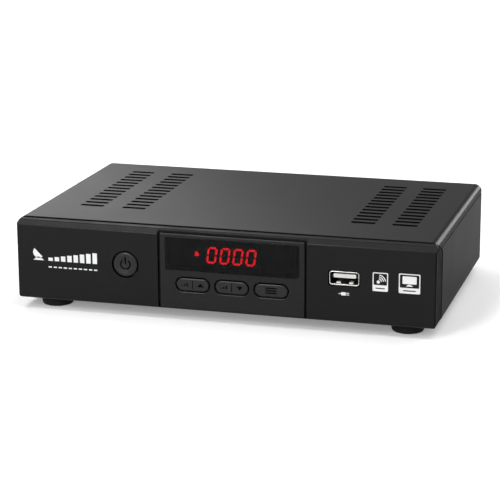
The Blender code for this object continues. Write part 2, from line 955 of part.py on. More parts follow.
def make_feet():
    """Four round feet, a little narrower and rounded towards the ground."""
    top = foot_height - rest_gap
    sole = foot_radius - foot_taper
    profile = [
        (0, top),
        (foot_radius, top),
        (sole + foot_taper / 3, foot_round),
        (sole - foot_round / 3, foot_round / 3),
        (sole - foot_round, 0),
        (0, 0),
    ]
    columns = (("left", -half_width + foot_side_inset), ("right", half_width - foot_side_inset))
    rows = (("front", foot_front_inset), ("back", case_depth - foot_back_inset))
    for row, back in rows:
        for side, across in columns:
            place = at(across, back, -foot_height)
            turned(f"foot_{row}_{side}", profile, place, upright, rubber, fine_sides)


def make_main_board():
    """Board on the tray's standoffs, with its chips, coil, capacitors and heat sink."""
    board = block(
        "main_board",
        at(main_board_left, main_board_front, main_board_underside),
        at(main_board_right, main_board_back, main_board_top),
        circuit_board,
    )
    for across, back in board_screw_places():
        start = at(across, back, main_board_underside - overrun)
        end = at(across, back, main_board_top + overrun)
        cut(board, rod("main_board_hole", start, end, screw_radius + rest_gap))
    chip_size = (processor_width, processor_width, processor_tall)
    seated_block("processor_chip", processor_inset, processor_back_inset, chip_size)
    memory_size = (memory_width, memory_depth, memory_tall)
    seated_block("memory_chip", memory_inset, memory_back_inset, memory_size)
    inductor_size = (inductor_width, inductor_width, inductor_tall)
    inductor = seated_block("supply_inductor", inductor_inset, inductor_back_inset, inductor_size)
    soften(inductor, inductor_round)
    for number, back_inset in enumerate(capacitor_back_insets, start=1):
        profile = [
            (0, capacitor_tall),
            (capacitor_radius - capacitor_round, capacitor_tall),
            (capacitor_radius, capacitor_tall - capacitor_round),
            (capacitor_radius, 0),
            (0, 0),
        ]
        place = on_main_board(capacitor_inset, back_inset, seat_height)
        turned(f"filter_capacitor_{number}", profile, place, upright, black_plastic)
    make_heatsink()


def on_main_board(inset, back_inset, up):
    """World place of a point above the main board, in from its right edge and its back edge."""
    return at(main_board_right - inset, main_board_back - back_inset, up)


def seated_block(name, inset, back_inset, size):
    """A block that stands on the main board, with its middle in from the board's edges."""
    width, depth, tall = size
    low = on_main_board(inset + width / 2, back_inset + depth / 2, seat_height)
    high = on_main_board(inset - width / 2, back_inset - depth / 2, seat_height + tall)
    return block(name, low, high, black_plastic)


def make_heatsink():
    """Finned block on the processor."""
    left = -heatsink_width / 2
    pitch = (heatsink_width - heatsink_fin) / (heatsink_fins - 1)
    comb = [(left, 0), (-left, 0)]
    for fin in reversed(range(heatsink_fins)):
        start = left + fin * pitch
        comb += [(start + heatsink_fin, heatsink_base), (start + heatsink_fin, heatsink_tall)]
        comb += [(start, heatsink_tall), (start, heatsink_base)]
    corners = [comb[0], comb[1]] + comb[3:-1]
    foot = seat_height + processor_tall + rest_gap
    place = on_main_board(processor_inset, processor_back_inset, foot)
    plate("heatsink", [corners], heatsink_width, place, to_front, aluminium)


def connector_centres():
    middle = tuner_left + tuner_width / 2
    return (middle - connector_spacing / 2, middle + connector_spacing / 2)


def jack_centres():
    return [av_block_left + av_block_margin + place * jack_pitch for place in range(jack_count)]


def make_tuner():
    """Screened tuner at the back, with its two threaded connectors through the rear panel."""
    can_back = main_board_back - rest_gap
    low = at(tuner_left, can_back - tuner_depth, seat_height)
    high = at(tuner_left + tuner_width, can_back, seat_height + tuner_tall)
    block("tuner_can", low, high, bright_metal)
    barrel_end = case_depth + barrel_reach
    collar_top = barrel_end - socket_seat_back
    collar_foot = barrel_end - can_back - rest_gap
    barrel = [
        (0, -barrel_bore_depth),
        (barrel_bore, -barrel_bore_depth),
        (barrel_bore, 0),
        (barrel_radius, 0),
        (barrel_radius, -collar_top),
        (barrel_collar_radius, -collar_top),
        (barrel_collar_radius, -collar_foot),
        (0, -collar_foot),
    ]
    insulator_radius = barrel_bore - rest_gap
    insulator_foot = barrel_bore_depth - rest_gap
    insulator = [
        (0, -insulator_inset - barrel_contact_depth),
        (barrel_contact_radius, -insulator_inset - barrel_contact_depth),
        (barrel_contact_radius, -insulator_inset),
        (insulator_radius, -insulator_inset),
        (insulator_radius, -insulator_foot),
        (0, -insulator_foot),
    ]
    for name, across in zip(("lnb_input", "loop_output"), connector_centres()):
        place = at(across, barrel_end, barrel_height)
        turned(name + "_barrel", barrel, place, to_back, bright_metal)
        turned(name + "_insulator", insulator, place, to_back, white_plastic)


def make_rear_sockets():
    """Digital picture socket, three round sockets on their block, and the power inlet."""
    hdmi_back = panel_rear + hdmi_proud
    hdmi_front = hdmi_back - hdmi_depth
    hdmi_middle = seat_height + hdmi_tall / 2
    outline = socket_outline(hdmi_centre, hdmi_middle, hdmi_width, hdmi_tall, hdmi_corner, hdmi_wall)
    shell = front_plate("hdmi_shell", [outline], hdmi_front, hdmi_back, bright_metal)
    inner_width = hdmi_width - 2 * hdmi_wall
    inner_tall = hdmi_tall - 2 * hdmi_wall
    inner_corner = hdmi_corner - hdmi_wall / 2
    room = socket_outline(hdmi_centre, hdmi_middle, inner_width, inner_tall, inner_corner, hdmi_wall / 2)
    cut(shell, front_plate("hdmi_room", [room], hdmi_front + hdmi_wall, hdmi_back + overrun))
    base_front = hdmi_front + hdmi_wall + rest_gap
    half_base_width = hdmi_tongue_width / 2
    half_base_tall = hdmi_tall / 2 - hdmi_wall - rest_gap
    tongue = block(
        "hdmi_tongue",
        at(hdmi_centre - half_base_width, base_front, hdmi_middle - half_base_tall),
        at(hdmi_centre + half_base_width, base_front + socket_base_depth, hdmi_middle + half_base_tall),
        black_plastic,
    )
    half_blade = half_base_width - hdmi_wall
    half_thickness = hdmi_tongue_thickness / 2
    blade = block(
        "hdmi_blade",
        at(hdmi_centre - half_blade, base_front + overrun, hdmi_middle - half_thickness),
        at(hdmi_centre + half_blade, hdmi_back - hdmi_tongue_inset, hdmi_middle + half_thickness),
    )
    join(tongue, blade)

    block_back = socket_seat_back
    low = at(av_block_left, block_back - av_block_depth, seat_height)
    high = at(av_block_left + av_block_width, block_back, seat_height + av_block_tall)
    block("av_block", low, high, black_plastic)
    jack_end = case_depth + jack_reach
    jack_foot = jack_end - block_back - rest_gap
    jack = [
        (0, -jack_bore_depth),
        (jack_bore, -jack_bore_depth),
        (jack_bore, -jack_rim_depth),
        (jack_radius - jack_wall, -jack_rim_depth),
        (jack_radius - jack_wall, 0),
        (jack_radius, 0),
        (jack_radius, -jack_foot),
        (0, -jack_foot),
    ]
    names = ("video_jack", "left_audio_jack", "right_audio_jack")
    jack_finishes = (yellow_plastic, white_plastic, red_plastic)
    for name, across, material in zip(names, jack_centres(), jack_finishes):
        turned(name, jack, at(across, jack_end, seat_height + jack_height), to_back, material)

    inlet_back = panel_rear + inlet_proud
    inlet_middle = seat_height + inlet_tall / 2
    low = at(inlet_centre - inlet_width / 2, inlet_back - inlet_depth, seat_height)
    high = at(inlet_centre + inlet_width / 2, inlet_back, seat_height + inlet_tall)
    inlet = block("power_inlet", low, high, black_plastic)
    bore = circle(inlet_centre, inlet_middle, inlet_bore)
    pin = circle(inlet_centre, inlet_middle, inlet_pin)
    bore_end = inlet_back - inlet_bore_depth
    cut(inlet, front_plate("inlet_bore", [bore, pin], bore_end, inlet_back + overrun))


def make_flat_cable():
    """Flat cable from the back of the front board to the main board, with its two headers."""
    half_header = cable_width / 2 + header_margin
    seats = (
        ("front_header", front_header_back, front_header_foot),
        ("main_header", main_header_back, seat_height),
    )
    for name, back, up in seats:
        low = at(cable_centre - half_header, back, up)
        high = at(cable_centre + half_header, back + header_depth, up + header_tall)
        block(name, low, high, white_plastic)
    start = (front_header_back + header_depth + rest_gap, front_header_foot + header_tall / 2)
    end = (main_header_back - rest_gap, seat_height + header_tall / 2)
    points = []
    for i in range(cable_points):
        share = i / (cable_points - 1)
        back = start[0] + (end[0] - start[0]) * share
        up = start[1] + (end[1] - start[1]) * share + cable_rise * math.sin(math.pi * share) ** 2
        points.append(at(cable_centre - cable_width / 2, back, up))
        points.append(at(cable_centre + cable_width / 2, back, up))
    faces = [(2 * i, 2 * i + 1, 2 * i + 3, 2 * i + 2) for i in range(cable_points - 1)]
    mesh = bpy.data.meshes.new("ribbon_cable")
    mesh.from_pydata(points, [], faces)
    ribbon = add_object("ribbon_cable", mesh, grey_plastic)
    solid = ribbon.modifiers.new("thickness", "SOLIDIFY")
    solid.thickness = cable_thickness
    solid.offset = 0


clear_objects()
receiver = new_collection("satellite_receiver")
cutters = new_collection("cutters")

black_paint = finish("black paint", (0.03, 0.03, 0.032), 0.45)
black_plastic = finish("black plastic", (0.02, 0.02, 0.021), 0.4)
gloss_plastic = finish("gloss plastic", (0.018, 0.018, 0.019), 0.2)
key_plastic = finish("key plastic", (0.024, 0.024, 0.025), 0.35)
smoked_window = finish("smoked window", (0.008, 0.008, 0.009), 0.08)
red_display = finish("red display", (0.8, 0.01, 0.015), 0.3, glow=1.0)
circuit_board = finish("circuit board", (0.02, 0.12, 0.05), 0.5)
bright_metal = finish("bright metal", (0.75, 0.75, 0.73), 0.25, metallic=1.0)
aluminium = finish("aluminium", (0.6, 0.61, 0.62), 0.4, metallic=1.0)
white_plastic = finish("white plastic", (0.8, 0.8, 0.78), 0.4)
grey_plastic = finish("grey plastic", (0.35, 0.35, 0.36), 0.5)
yellow_plastic = finish("yellow plastic", (0.8, 0.6, 0.03), 0.35)
red_plastic = finish("red plastic", (0.6, 0.02, 0.02), 0.35)
rubber = finish("rubber", (0.012, 0.012, 0.012), 0.8)

front_room_outline = front_edge_line(seam_gap)
front_room_outline += [(-overrun, case_height + overrun), (-overrun, -overrun)]
front_room_width = case_width + 2 * overrun
front_room = plate("front_room", [front_room_outline], front_room_width, at(0, 0, 0), to_side)

make_bezel()
make_fascia()
make_power_button()
for key_name, key_across in zip(("channel_up", "channel_down", "menu"), key_centres()):
    make_key(key_name + "_key", key_across)
    make_switch(key_name, key_across, key_height)
make_switch("power", power_centre, power_height)
make_front_board()
make_usb_socket()
make_cover()
make_chassis()
make_rear_panel()
make_main_board()
make_tuner()
make_rear_sockets()
make_flat_cable()
make_fasteners()
make_feet()
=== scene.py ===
"""Satellite television receiver: its visible pieces, their finishes, the floor, lamps and camera.

Sizes are in metres. Places are given by at(across, back, up): across the front from its middle,
back from the front face, and up from the underside of the case.
"""
import math

import bmesh
import bpy
from bpy.props import FloatProperty, FloatVectorProperty, IntProperty, PointerProperty
from mathutils import Matrix, Quaternion, Vector

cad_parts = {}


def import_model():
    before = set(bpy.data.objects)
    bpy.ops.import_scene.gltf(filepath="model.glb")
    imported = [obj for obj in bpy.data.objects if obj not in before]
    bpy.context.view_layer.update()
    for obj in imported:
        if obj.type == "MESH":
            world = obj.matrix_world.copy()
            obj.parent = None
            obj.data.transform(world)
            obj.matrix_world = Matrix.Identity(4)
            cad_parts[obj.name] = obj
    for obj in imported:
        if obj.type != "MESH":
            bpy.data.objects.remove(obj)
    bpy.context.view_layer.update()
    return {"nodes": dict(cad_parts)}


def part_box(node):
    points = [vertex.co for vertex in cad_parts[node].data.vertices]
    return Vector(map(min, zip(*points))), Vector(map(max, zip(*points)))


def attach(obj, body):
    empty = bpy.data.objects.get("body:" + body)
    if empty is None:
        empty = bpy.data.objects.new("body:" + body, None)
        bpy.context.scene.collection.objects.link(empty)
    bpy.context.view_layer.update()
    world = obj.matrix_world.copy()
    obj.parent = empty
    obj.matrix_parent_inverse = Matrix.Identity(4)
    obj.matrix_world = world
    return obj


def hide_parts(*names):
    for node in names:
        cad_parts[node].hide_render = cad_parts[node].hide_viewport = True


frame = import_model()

bl_info = {
    "name": "Satellite receiver",
    "version": (1, 0, 0),
    "blender": (4, 5, 0),
    "location": "3D View > Sidebar > Receiver",
    "description": "Builds the visible pieces of a satellite television receiver on its CAD frame",
    "category": "Object",
}

mm = 0.001
housing = "housing"
photo_pixels = 500
tiny = 1e-7

# How far a cutter reaches past what it cuts
margin = 1 * mm

window_gap = 0.08 * mm
barrel_radius = 4.75 * mm
barrel_bore = 3.4 * mm

face_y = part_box("front_bezel")[0].y
base_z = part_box("front_bezel")[0].z


def at(across, back, up):
    """World place of a point: across from the middle, back from the face, up from the underside."""
    return Vector((across, face_y + back, base_z + up))


class Span:
    """Where CAD nodes lie: their ends and middles across, back and up."""

    def __init__(self, *nodes):
        boxes = [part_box(node) for node in nodes]
        self.left = min(low.x for low, high in boxes)
        self.right = max(high.x for low, high in boxes)
        self.front = min(low.y for low, high in boxes) - face_y
        self.back = max(high.y for low, high in boxes) - face_y
        self.foot = min(low.z for low, high in boxes) - base_z
        self.top = max(high.z for low, high in boxes) - base_z
        self.across = (self.left + self.right) / 2
        self.up = (self.foot + self.top) / 2
        self.width = self.right - self.left
        self.tall = self.top - self.foot


case = Span("front_bezel", "top_cover", "bottom_chassis")
fascia_span = Span("centre_fascia")
window_span = Span("display_window")
power_span = Span("power_button")
key_spans = {name: Span(name) for name in ("channel_up_key", "channel_down_key", "menu_key")}
usb_span = Span("usb_shell")
tongue_span = Span("usb_tongue")
module_span = Span("display_module")
indicator_span = Span("status_led")
hdmi_span = Span("hdmi_shell")
hdmi_tongue_span = Span("hdmi_tongue")
inlet_span = Span("power_inlet")
panel_span = Span("rear_panel")
barrel_spans = {name: Span(name + "_barrel") for name in ("lnb_input", "loop_output")}
jack_spans = {
    name: Span(name + "_jack") for name in ("video", "left_audio", "right_audio")
}
cover_screw_spans = [Span("cover_screw_left"), Span("cover_screw_right")]
foot_span = Span("foot_front_left")
feet_span = Span("foot_front_left", "foot_back_right")


# Settings

def length(name, description, default):
    """A size that a user may change."""
    return FloatProperty(
        name=name, description=description, default=default, min=0, unit="LENGTH", precision=5
    )


def colour(name, description, default):
    """A colour that a user may change."""
    return FloatVectorProperty(
        name=name, description=description, default=default, min=0, max=1, size=3, subtype="COLOR"
    )


def strength(name, description, default):
    """A brightness that a user may change."""
    return FloatProperty(name=name, description=description, default=default, min=0)


class ReceiverFront(bpy.types.PropertyGroup):
    """Sizes of the moulded front."""

    plate: length("Front plate", "Thickness of the front's wall", 3 * mm)
    face_height: length("Face height", "Height of the flat face", 35.5 * mm)
    slope_depth: length("Slope depth", "How far the band above the face leans back", 2.05 * mm)
    slope_height: length("Slope height", "Height of the sloping band's top", 37.55 * mm)
    step: length("Step", "Height of the step above the sloping band", 0.3 * mm)
    crown_depth: length("Crown depth", "How far back the front's top edge lies", 3.4 * mm)
    side_depth: length("Side depth", "How far back the front's sides reach", 13.9 * mm)
    sweep_height: length("Sweep height", "Where the sides' rear edge starts to lean", 32.6 * mm)
    foot_corner: length("Lower corner", "Radius of the two lower corners", 2 * mm)
    top_corner: length("Upper corner", "Radius of the two upper corners", 3.6 * mm)
    front_corner: length("Front corner", "Radius of the two upright front edges", 0.9 * mm)
    face_edge: length("Face edge", "Radius of the edge above the face", 1.1 * mm)
    foot_edge: length("Foot edge", "Radius of the edge below the face", 1.2 * mm)
    step_edge: length("Step edge", "Radius of the step's edges", 0.1 * mm)
    groove: length("Groove", "Width of the grooves beside the middle plate", 1 * mm)
    recess_depth: length("Recess depth", "Depth of the place of the middle plate", 1.8 * mm)
    edge: length("Edge", "Rounding of the moulded edges", 0.2 * mm)
    fascia_edge: length("Middle plate edge", "Rounding of the middle plate's edges", 0.5 * mm)
    seam_relief: length("Seam relief", "How far the sides' rear edge is cut back", 0.8 * mm)
    gable: length("Gable", "Height of the pointed ends of the grooves", 0.6 * mm)
    gable_edge: length("Gable edge", "Rounding of the pointed ends of the grooves", 0.4 * mm)
    lip_wall: length("Lip wall", "Thickness of the lip inside the case", 1.5 * mm)
    lip_inset: length("Lip inset", "How far the lip lies inside the case's outside", 1.1 * mm)
    lip_root: length("Lip root", "Where the lip joins the front plate", 2.6 * mm)
    boss_radius: length("Boss radius", "Radius of the front board's two posts", 2.6 * mm)
    boss_hole: length("Boss hole", "Radius of the hole in a post", 1.7 * mm)
    window_ledge: length("Window ledge", "Width of the ledge behind the window", 1.5 * mm)
    window_corner: length("Window corner", "Radius of the window's corners", 1 * mm)
    print_room: length("Print room", "How far the face lies behind the printed marks", 0.06 * mm)


class ReceiverButtons(bpy.types.PropertyGroup):
    """Sizes of the round button and the three keys."""

    slide_gap: length("Gap", "Gap round each cap in its opening", 0.5 * mm)
    cap_inset: length("Cap inset", "How far a cap lies inside its flange", 1.1 * mm)
    cap_edge: length("Cap edge", "Rounding of the round cap's edge", 1.1 * mm)
    key_edge: length("Key edge", "Rounding of the keys' edges", 0.6 * mm)
    mark_edge: length("Mark edge", "Rounding of the sunk marks' edges", 0.12 * mm)
    dish: length("Dish", "Depth of the round cap's hollow", 0.45 * mm)
    flange: length("Flange", "Thickness of the flange behind the front", 0.8 * mm)
    stem_radius: length("Stem radius", "Radius of the stem", 1.5 * mm)
    engraving: length("Engraving", "Depth of the sunk marks", 0.35 * mm)
    mark_line: length("Mark line", "Width of the sunk lines", 0.55 * mm)
    ring_radius: length("Ring radius", "Middle radius of the power mark's ring", 2.3 * mm)


class ReceiverVents(bpy.types.PropertyGroup):
    """Sizes of the slots in the cover."""

    rows: IntProperty(name="Rows", description="Slots in each column", default=13, min=1, max=40)
    pitch: length("Pitch", "Distance from slot to slot", 6.25 * mm)
    first_row: length("First row", "Distance of the first slots from the face", 31.5 * mm)
    slot_length: length("Slot length", "Length of a slot", 11.5 * mm)
    slot_width: length("Slot width", "Width of a slot", 3.0 * mm)
    slot_corner: length("Slot corner", "Radius of a slot's corners", 0.5 * mm)
    columns: FloatVectorProperty(
        name="Columns",
        description="Places of the four columns across the cover",
        default=(-73.5 * mm, -52.4 * mm, 59.4 * mm, 79.1 * mm),
        size=4,
        unit="LENGTH",
        precision=5,
    )


class ReceiverCase(bpy.types.PropertyGroup):
    """Sizes of the folded metal case."""

    sheet: length("Sheet", "Thickness of the metal", 0.8 * mm)
    cover_corner: length("Cover corner", "Radius of the cover's two long bends", 3.6 * mm)
    floor_corner: length("Floor corner", "Radius of the tray's two long bends", 1.5 * mm)
    lip_foot: length("Cover lip", "Height of the lower edge of the cover's side lips", 35.3 * mm)
    wall_top: length("Wall top", "Height of the tray's side walls", 34.8 * mm)
    seam: length("Seam", "Gap between the front and the metal", 0.5 * mm)
    front_bend: length("Front bend", "Rounding of the cover's front edge", 0.38 * mm)
    edge: length("Edge", "Rounding of the cut edges", 0.12 * mm)
    flange_inset: length("Flange inset", "How far the rear flange ends inside the sides", 4 * mm)
    flange_height: length("Flange height", "Height of the cover's rear flange", 8 * mm)
    hole_radius: length("Screw hole", "Radius of a screw's hole", 1.7 * mm)


class ReceiverDisplay(bpy.types.PropertyGroup):
    """Sizes of the lit digits."""

    digits: IntProperty(name="Digits", description="Number of digits", default=4, min=1, max=8)
    pitch: length("Digit pitch", "Distance from digit to digit", 6.2 * mm)
    width: length("Digit width", "Width of a digit between its strokes' middles", 3.75 * mm)
    height: length("Digit height", "Height of a digit between its strokes' middles", 6.9 * mm)
    stroke: length("Stroke", "Width of a lit stroke", 0.9 * mm)
    gap: length("Gap", "Gap between strokes", 0.5 * mm)
    slant: FloatProperty(
        name="Slant",
        description="Lean of the digits",
        default=math.radians(8),
        subtype="ANGLE",
    )
    thickness: length("Thickness", "Height of the strokes on the module", 0.15 * mm)
    glow: FloatProperty(name="Glow", description="Strength of the lit strokes", default=42.0, min=0)


class ReceiverSockets(bpy.types.PropertyGroup):
    """Sizes of the sockets and of the screws."""

    shell_wall: length("Shell wall", "Thickness of a metal socket shell", 0.32 * mm)
    shell_corner: length("Shell corner", "Radius of the front socket's corners", 1.2 * mm)
    contact_width: length("Contact width", "Width of a contact strip", 1.1 * mm)
    thread_pitch: length("Thread pitch", "Distance from thread to thread", 0.8 * mm)
    thread_depth: length("Thread depth", "Depth of the thread", 0.34 * mm)
    nut_flats: length("Nut", "Width of the hexagonal nuts across their flats", 11.2 * mm)
    nut_height: length("Nut height", "Thickness of the nuts", 2 * mm)
    head_round: length("Head rounding", "Rounding of a screw's head", 0.6 * mm)
    cross_depth: length("Cross depth", "Depth of the cross in a screw's head", 1 * mm)
    cross_width: length("Cross width", "Width of the cross's arms", 0.75 * mm)


class ReceiverFinish(bpy.types.PropertyGroup):
    """Colours of the finishes."""

    paint: colour("Paint", "Colour of the painted metal", (0.016, 0.016, 0.0166))
    plastic: colour("Plastic", "Colour of the moulded front", (0.004, 0.004, 0.0042))
    fascia: colour("Middle plate", "Colour of the glossier middle plate", (0.005, 0.005, 0.0052))
    keys: colour("Keys", "Colour of the button and keys", (0.006, 0.006, 0.0063))
    window: colour("Window", "Colour of the smoked window", (0.0035, 0.0035, 0.004))
    glow: colour("Glow", "Colour of the lit strokes", (1.0, 0.004, 0.012))
    marks: colour("Marks", "Colour of the printed marks", (0.86, 0.86, 0.86))
    board: colour("Boards", "Colour of the circuit boards", (0.012, 0.09, 0.035))


class ReceiverStudio(bpy.types.PropertyGroup):
    """Radiance of the lamps."""

    sky: strength("Sky", "Strength of the even light", 0.02)
    above: strength("Above", "Radiance of the lamp above", 3.1)
    front_band: strength("Front band", "Radiance of the lamp above left", 4.5)
    rear_band: strength("Rear band", "Radiance of the lamp above and behind left", 9.5)
    front: strength("Front", "Radiance of the lamp in front", 10.0)
    sheen: strength("Sheen", "Radiance of the lamp behind left", 6.2)
    rim: strength("Rim", "Radiance of the lamp behind right", 21.0)
    lift: strength("Lift", "Floor brightness added for the eye", 0.24)
    paper: colour("Paper", "Colour of the floor", (0.86, 0.86, 0.86))


settings_groups = {
    "front": ReceiverFront,
    "buttons": ReceiverButtons,
    "vents": ReceiverVents,
    "case": ReceiverCase,
    "display": ReceiverDisplay,
    "sockets": ReceiverSockets,
    "finish": ReceiverFinish,
    "studio": ReceiverStudio,
}
settings_prefix = "receiver_"


def settings(group):
    """The sizes, colours or strengths of one group."""
    return getattr(bpy.context.scene, settings_prefix + group)


# Node trees

class Tree:
    """A node tree, built node by node. A value that is a socket is linked, any other is set."""

    def __init__(self, tree):
        self.tree = tree

    def add(self, kind, values=None, **choices):
        node = self.tree.nodes.new(kind)
        for choice, value in choices.items():
            setattr(node, choice, value)
        for socket, value in (values or {}).items():
            if isinstance(value, bpy.types.NodeSocket):
                self.tree.links.new(value, node.inputs[socket])
            else:
                node.inputs[socket].default_value = value
        return node

    def link(self, output, socket):
        self.tree.links.new(output, socket)

    def sum(self, operation, *values):
        """The result of a Math node on one, two or three values."""
        kind = "ShaderNodeMath"
        return self.add(kind, dict(enumerate(values)), operation=operation).outputs[0]


class GeometryTree(Tree):
    """A geometry tree with named inputs, which makes one plain mesh."""

    def __init__(self, name, **inputs):
        super().__init__(bpy.data.node_groups.new(name, "GeometryNodeTree"))
        sockets = self.tree.interface
        sockets.new_socket("Geometry", in_out="OUTPUT", socket_type="NodeSocketGeometry")
        sockets.new_socket("Geometry", in_out="INPUT", socket_type="NodeSocketGeometry")
        for label, kind in inputs.items():
            title = label.replace("_", " ").capitalize()
            sockets.new_socket(title, in_out="INPUT", socket_type="NodeSocket" + kind)
        sockets.new_socket("Material", in_out="INPUT", socket_type="NodeSocketMaterial")
        self.entry = self.add("NodeGroupInput").outputs

    def vector(self, x=0.0, y=0.0, z=0.0):
        return self.add("ShaderNodeCombineXYZ", {0: x, 1: y, 2: z}).outputs[0]

    def copies(self, points, instance, **values):
        sockets = {"Points": points, "Instance": instance, **values}
        return self.add("GeometryNodeInstanceOnPoints", sockets).outputs[0]

    def line(self, count, start, step):
        values = {"Count": count, "Start Location": start, "Offset": step}
        return self.add("GeometryNodeMeshLine", values, mode="OFFSET").outputs[0]

    def moved(self, geometry, **values):
        return self.add("GeometryNodeTransform", {"Geometry": geometry, **values}).outputs[0]

    def shifted(self, geometry, offset):
        return self.add("GeometryNodeSetPosition", {"Geometry": geometry, "Offset": offset}).outputs[0]

    def joined(self, *geometries):
        join = self.add("GeometryNodeJoinGeometry")
        for geometry in geometries:
            self.tree.links.new(geometry, join.inputs[0])
        return join.outputs[0]

    def real(self, geometry):
        return self.add("GeometryNodeRealizeInstances", {0: geometry}).outputs[0]

    def end(self, geometry, selection=True):
        """Ends the tree: instances made real, then given their material, or some of their faces."""
        values = {"Geometry": self.real(geometry), "Selection": selection, "Material": self.entry["Material"]}
        painted = self.add("GeometryNodeSetMaterial", values).outputs[0]
        self.add("NodeGroupOutput", {0: painted})
        return self.tree


def grown(name, group, base=None, **values):
    """A plain mesh piece that a geometry tree makes from its named inputs."""
    made = linked(name, base.data if base else bpy.data.meshes.new(name))
    modifier = made.modifiers.new(group.name, "NODES")
    modifier.node_group = group
    wanted = {label.replace("_", " ").capitalize(): value for label, value in values.items()}
    for socket in group.interface.items_tree:
        if socket.item_type == "SOCKET" and socket.name in wanted:
            modifier[socket.identifier] = wanted[socket.name]
    settled(made)
    if base:
        bpy.data.objects.remove(base)
    return made


def settled(piece):
    """Turns a piece into the plain mesh that its modifiers make, and takes them off."""
    graph = bpy.context.evaluated_depsgraph_get()
    mesh = bpy.data.meshes.new_from_object(piece.evaluated_get(graph), depsgraph=graph)
    piece.modifiers.clear()
    piece.data = mesh
    mesh.name = piece.name
    return piece


# Meshes

def linked(name, mesh):
    """A new object of the scene, with this mesh."""
    made = bpy.data.objects.new(name, mesh)
    bpy.context.scene.collection.objects.link(made)
    return made


def placed(name, shape, material=None):
    """Puts a finished shape in the scene, with its faces outwards."""
    bmesh.ops.recalc_face_normals(shape, faces=shape.faces)
    mesh = bpy.data.meshes.new(name)
    shape.to_mesh(mesh)
    shape.free()
    if material:
        mesh.materials.append(material)
    return linked(name, mesh)


def on_front(across, up, back):
    """Lays a front view out, and its depth to the back."""
    return at(across, back, up)


def on_side(back, up, across):
    """Lays a side view out, and its depth to the right."""
    return at(across, back, up)


def on_top(across, back, up):
    """Lays a plan out, and its depth upwards."""
    return at(across, back, up)


def facing_front(across, back, up):
    """Lays a turned piece out towards the front from a place."""
    return lambda x, y, height: at(across + x, back - height, up + y)


def facing_back(across, back, up):
    """Lays a turned piece out towards the back from a place."""
    return lambda x, y, height: at(across + x, back + height, up + y)


def facing_up(across, back, up):
    """Lays a turned piece out upwards from a place."""
    return lambda x, y, height: at(across + x, back + y, up + height)


def solid(name, outlines, start, end, lay, material=None):
    """A piece with straight walls: each outline is drawn out between two depths."""
    shape = bmesh.new()
    for outline in outlines:
        near = [shape.verts.new(lay(u, v, start)) for u, v in outline]
        far = [shape.verts.new(lay(u, v, end)) for u, v in outline]
        shape.faces.new(near)
        shape.faces.new(far[::-1])
        for i in range(len(near)):
            j = (i + 1) % len(near)
            shape.faces.new((near[j], near[i], far[i], far[j]))
    return placed(name, shape, material)


def turned_rings(shape, profile, lay, sides):
    """Rings of points, one for each step of a turned piece's profile."""
    rings = []
    for radius, height in profile:
        count = sides if radius > tiny else 1
        turns = [math.tau * i / count for i in range(count)]
        points = [(radius * math.cos(turn), radius * math.sin(turn)) for turn in turns]
        rings.append([shape.verts.new(lay(x, y, height)) for x, y in points])
    return rings


def lathed(name, profile, lay, sides, material=None):
    """A turned piece. Its profile runs from the axis out and back to it, as (radius, height)."""
    shape = bmesh.new()
    rings = turned_rings(shape, profile, lay, sides)
    for lower, upper in zip(rings, rings[1:]):
        for i in range(sides):
            j = i + 1
            corners = (lower[i % len(lower)], lower[j % len(lower)])
            corners += (upper[j % len(upper)], upper[i % len(upper)])
            shape.faces.new(list(dict.fromkeys(corners)))
    return placed(name, shape, material)


def lathed_ring(name, profile, lay, sides, material=None):
    """A turned ring: its closed profile never meets the axis."""
    shape = bmesh.new()
    rings = turned_rings(shape, profile, lay, sides)
    for lower, upper in zip(rings, rings[1:] + rings[:1]):
        for i in range(sides):
            j = (i + 1) % sides
            shape.faces.new((lower[i], lower[j], upper[j], upper[i]))
    return placed(name, shape, material)


def arc(across, up, radius, first, last, steps):
    """Points of an arc about (across, up), from one angle to another in degrees."""
    angles = [math.radians(first + (last - first) * i / steps) for i in range(steps + 1)]
    return [(across + radius * math.cos(a), up + radius * math.sin(a)) for a in angles]


def box_outline(left, right, foot, top, foot_radius, top_radius, steps=8):
    """A rectangle whose two lower and two upper corners are rounded."""
    points = arc(right - foot_radius, foot + foot_radius, foot_radius, -90, 0, steps)
    points += arc(right - top_radius, top - top_radius, top_radius, 0, 90, steps)
    points += arc(left + top_radius, top - top_radius, top_radius, 90, 180, steps)
    points += arc(left + foot_radius, foot + foot_radius, foot_radius, 180, 270, steps)
    return points


def rectangle(left, right, foot, top):
    return [(left, foot), (right, foot), (right, top), (left, top)]


def centred(across, up, half_width, half_height):
    """A rectangle about a point."""
    return rectangle(across - half_width, across + half_width, up - half_height, up + half_height)


def rectangle_of(span):
    """The plain front view of a span."""
    return rectangle(span.left, span.right, span.foot, span.top)


def outline_of(span, gap, corner, steps=8):
    """The front view of a span with round corners, grown by a gap all round."""
    return box_outline(
        span.left - gap, span.right + gap, span.foot - gap, span.top + gap, corner, corner, steps
    )


def stadium(across, up, width, height, steps=16):
    """An outline with round ends."""
    radius = height / 2
    points = arc(across + width / 2 - radius, up, radius, -90, 90, steps)
    return points + arc(across - width / 2 + radius, up, radius, 90, 270, steps)


def circle(across, up, radius, sides=64):
    return arc(across, up, radius, 0, 360, sides)[:-1]


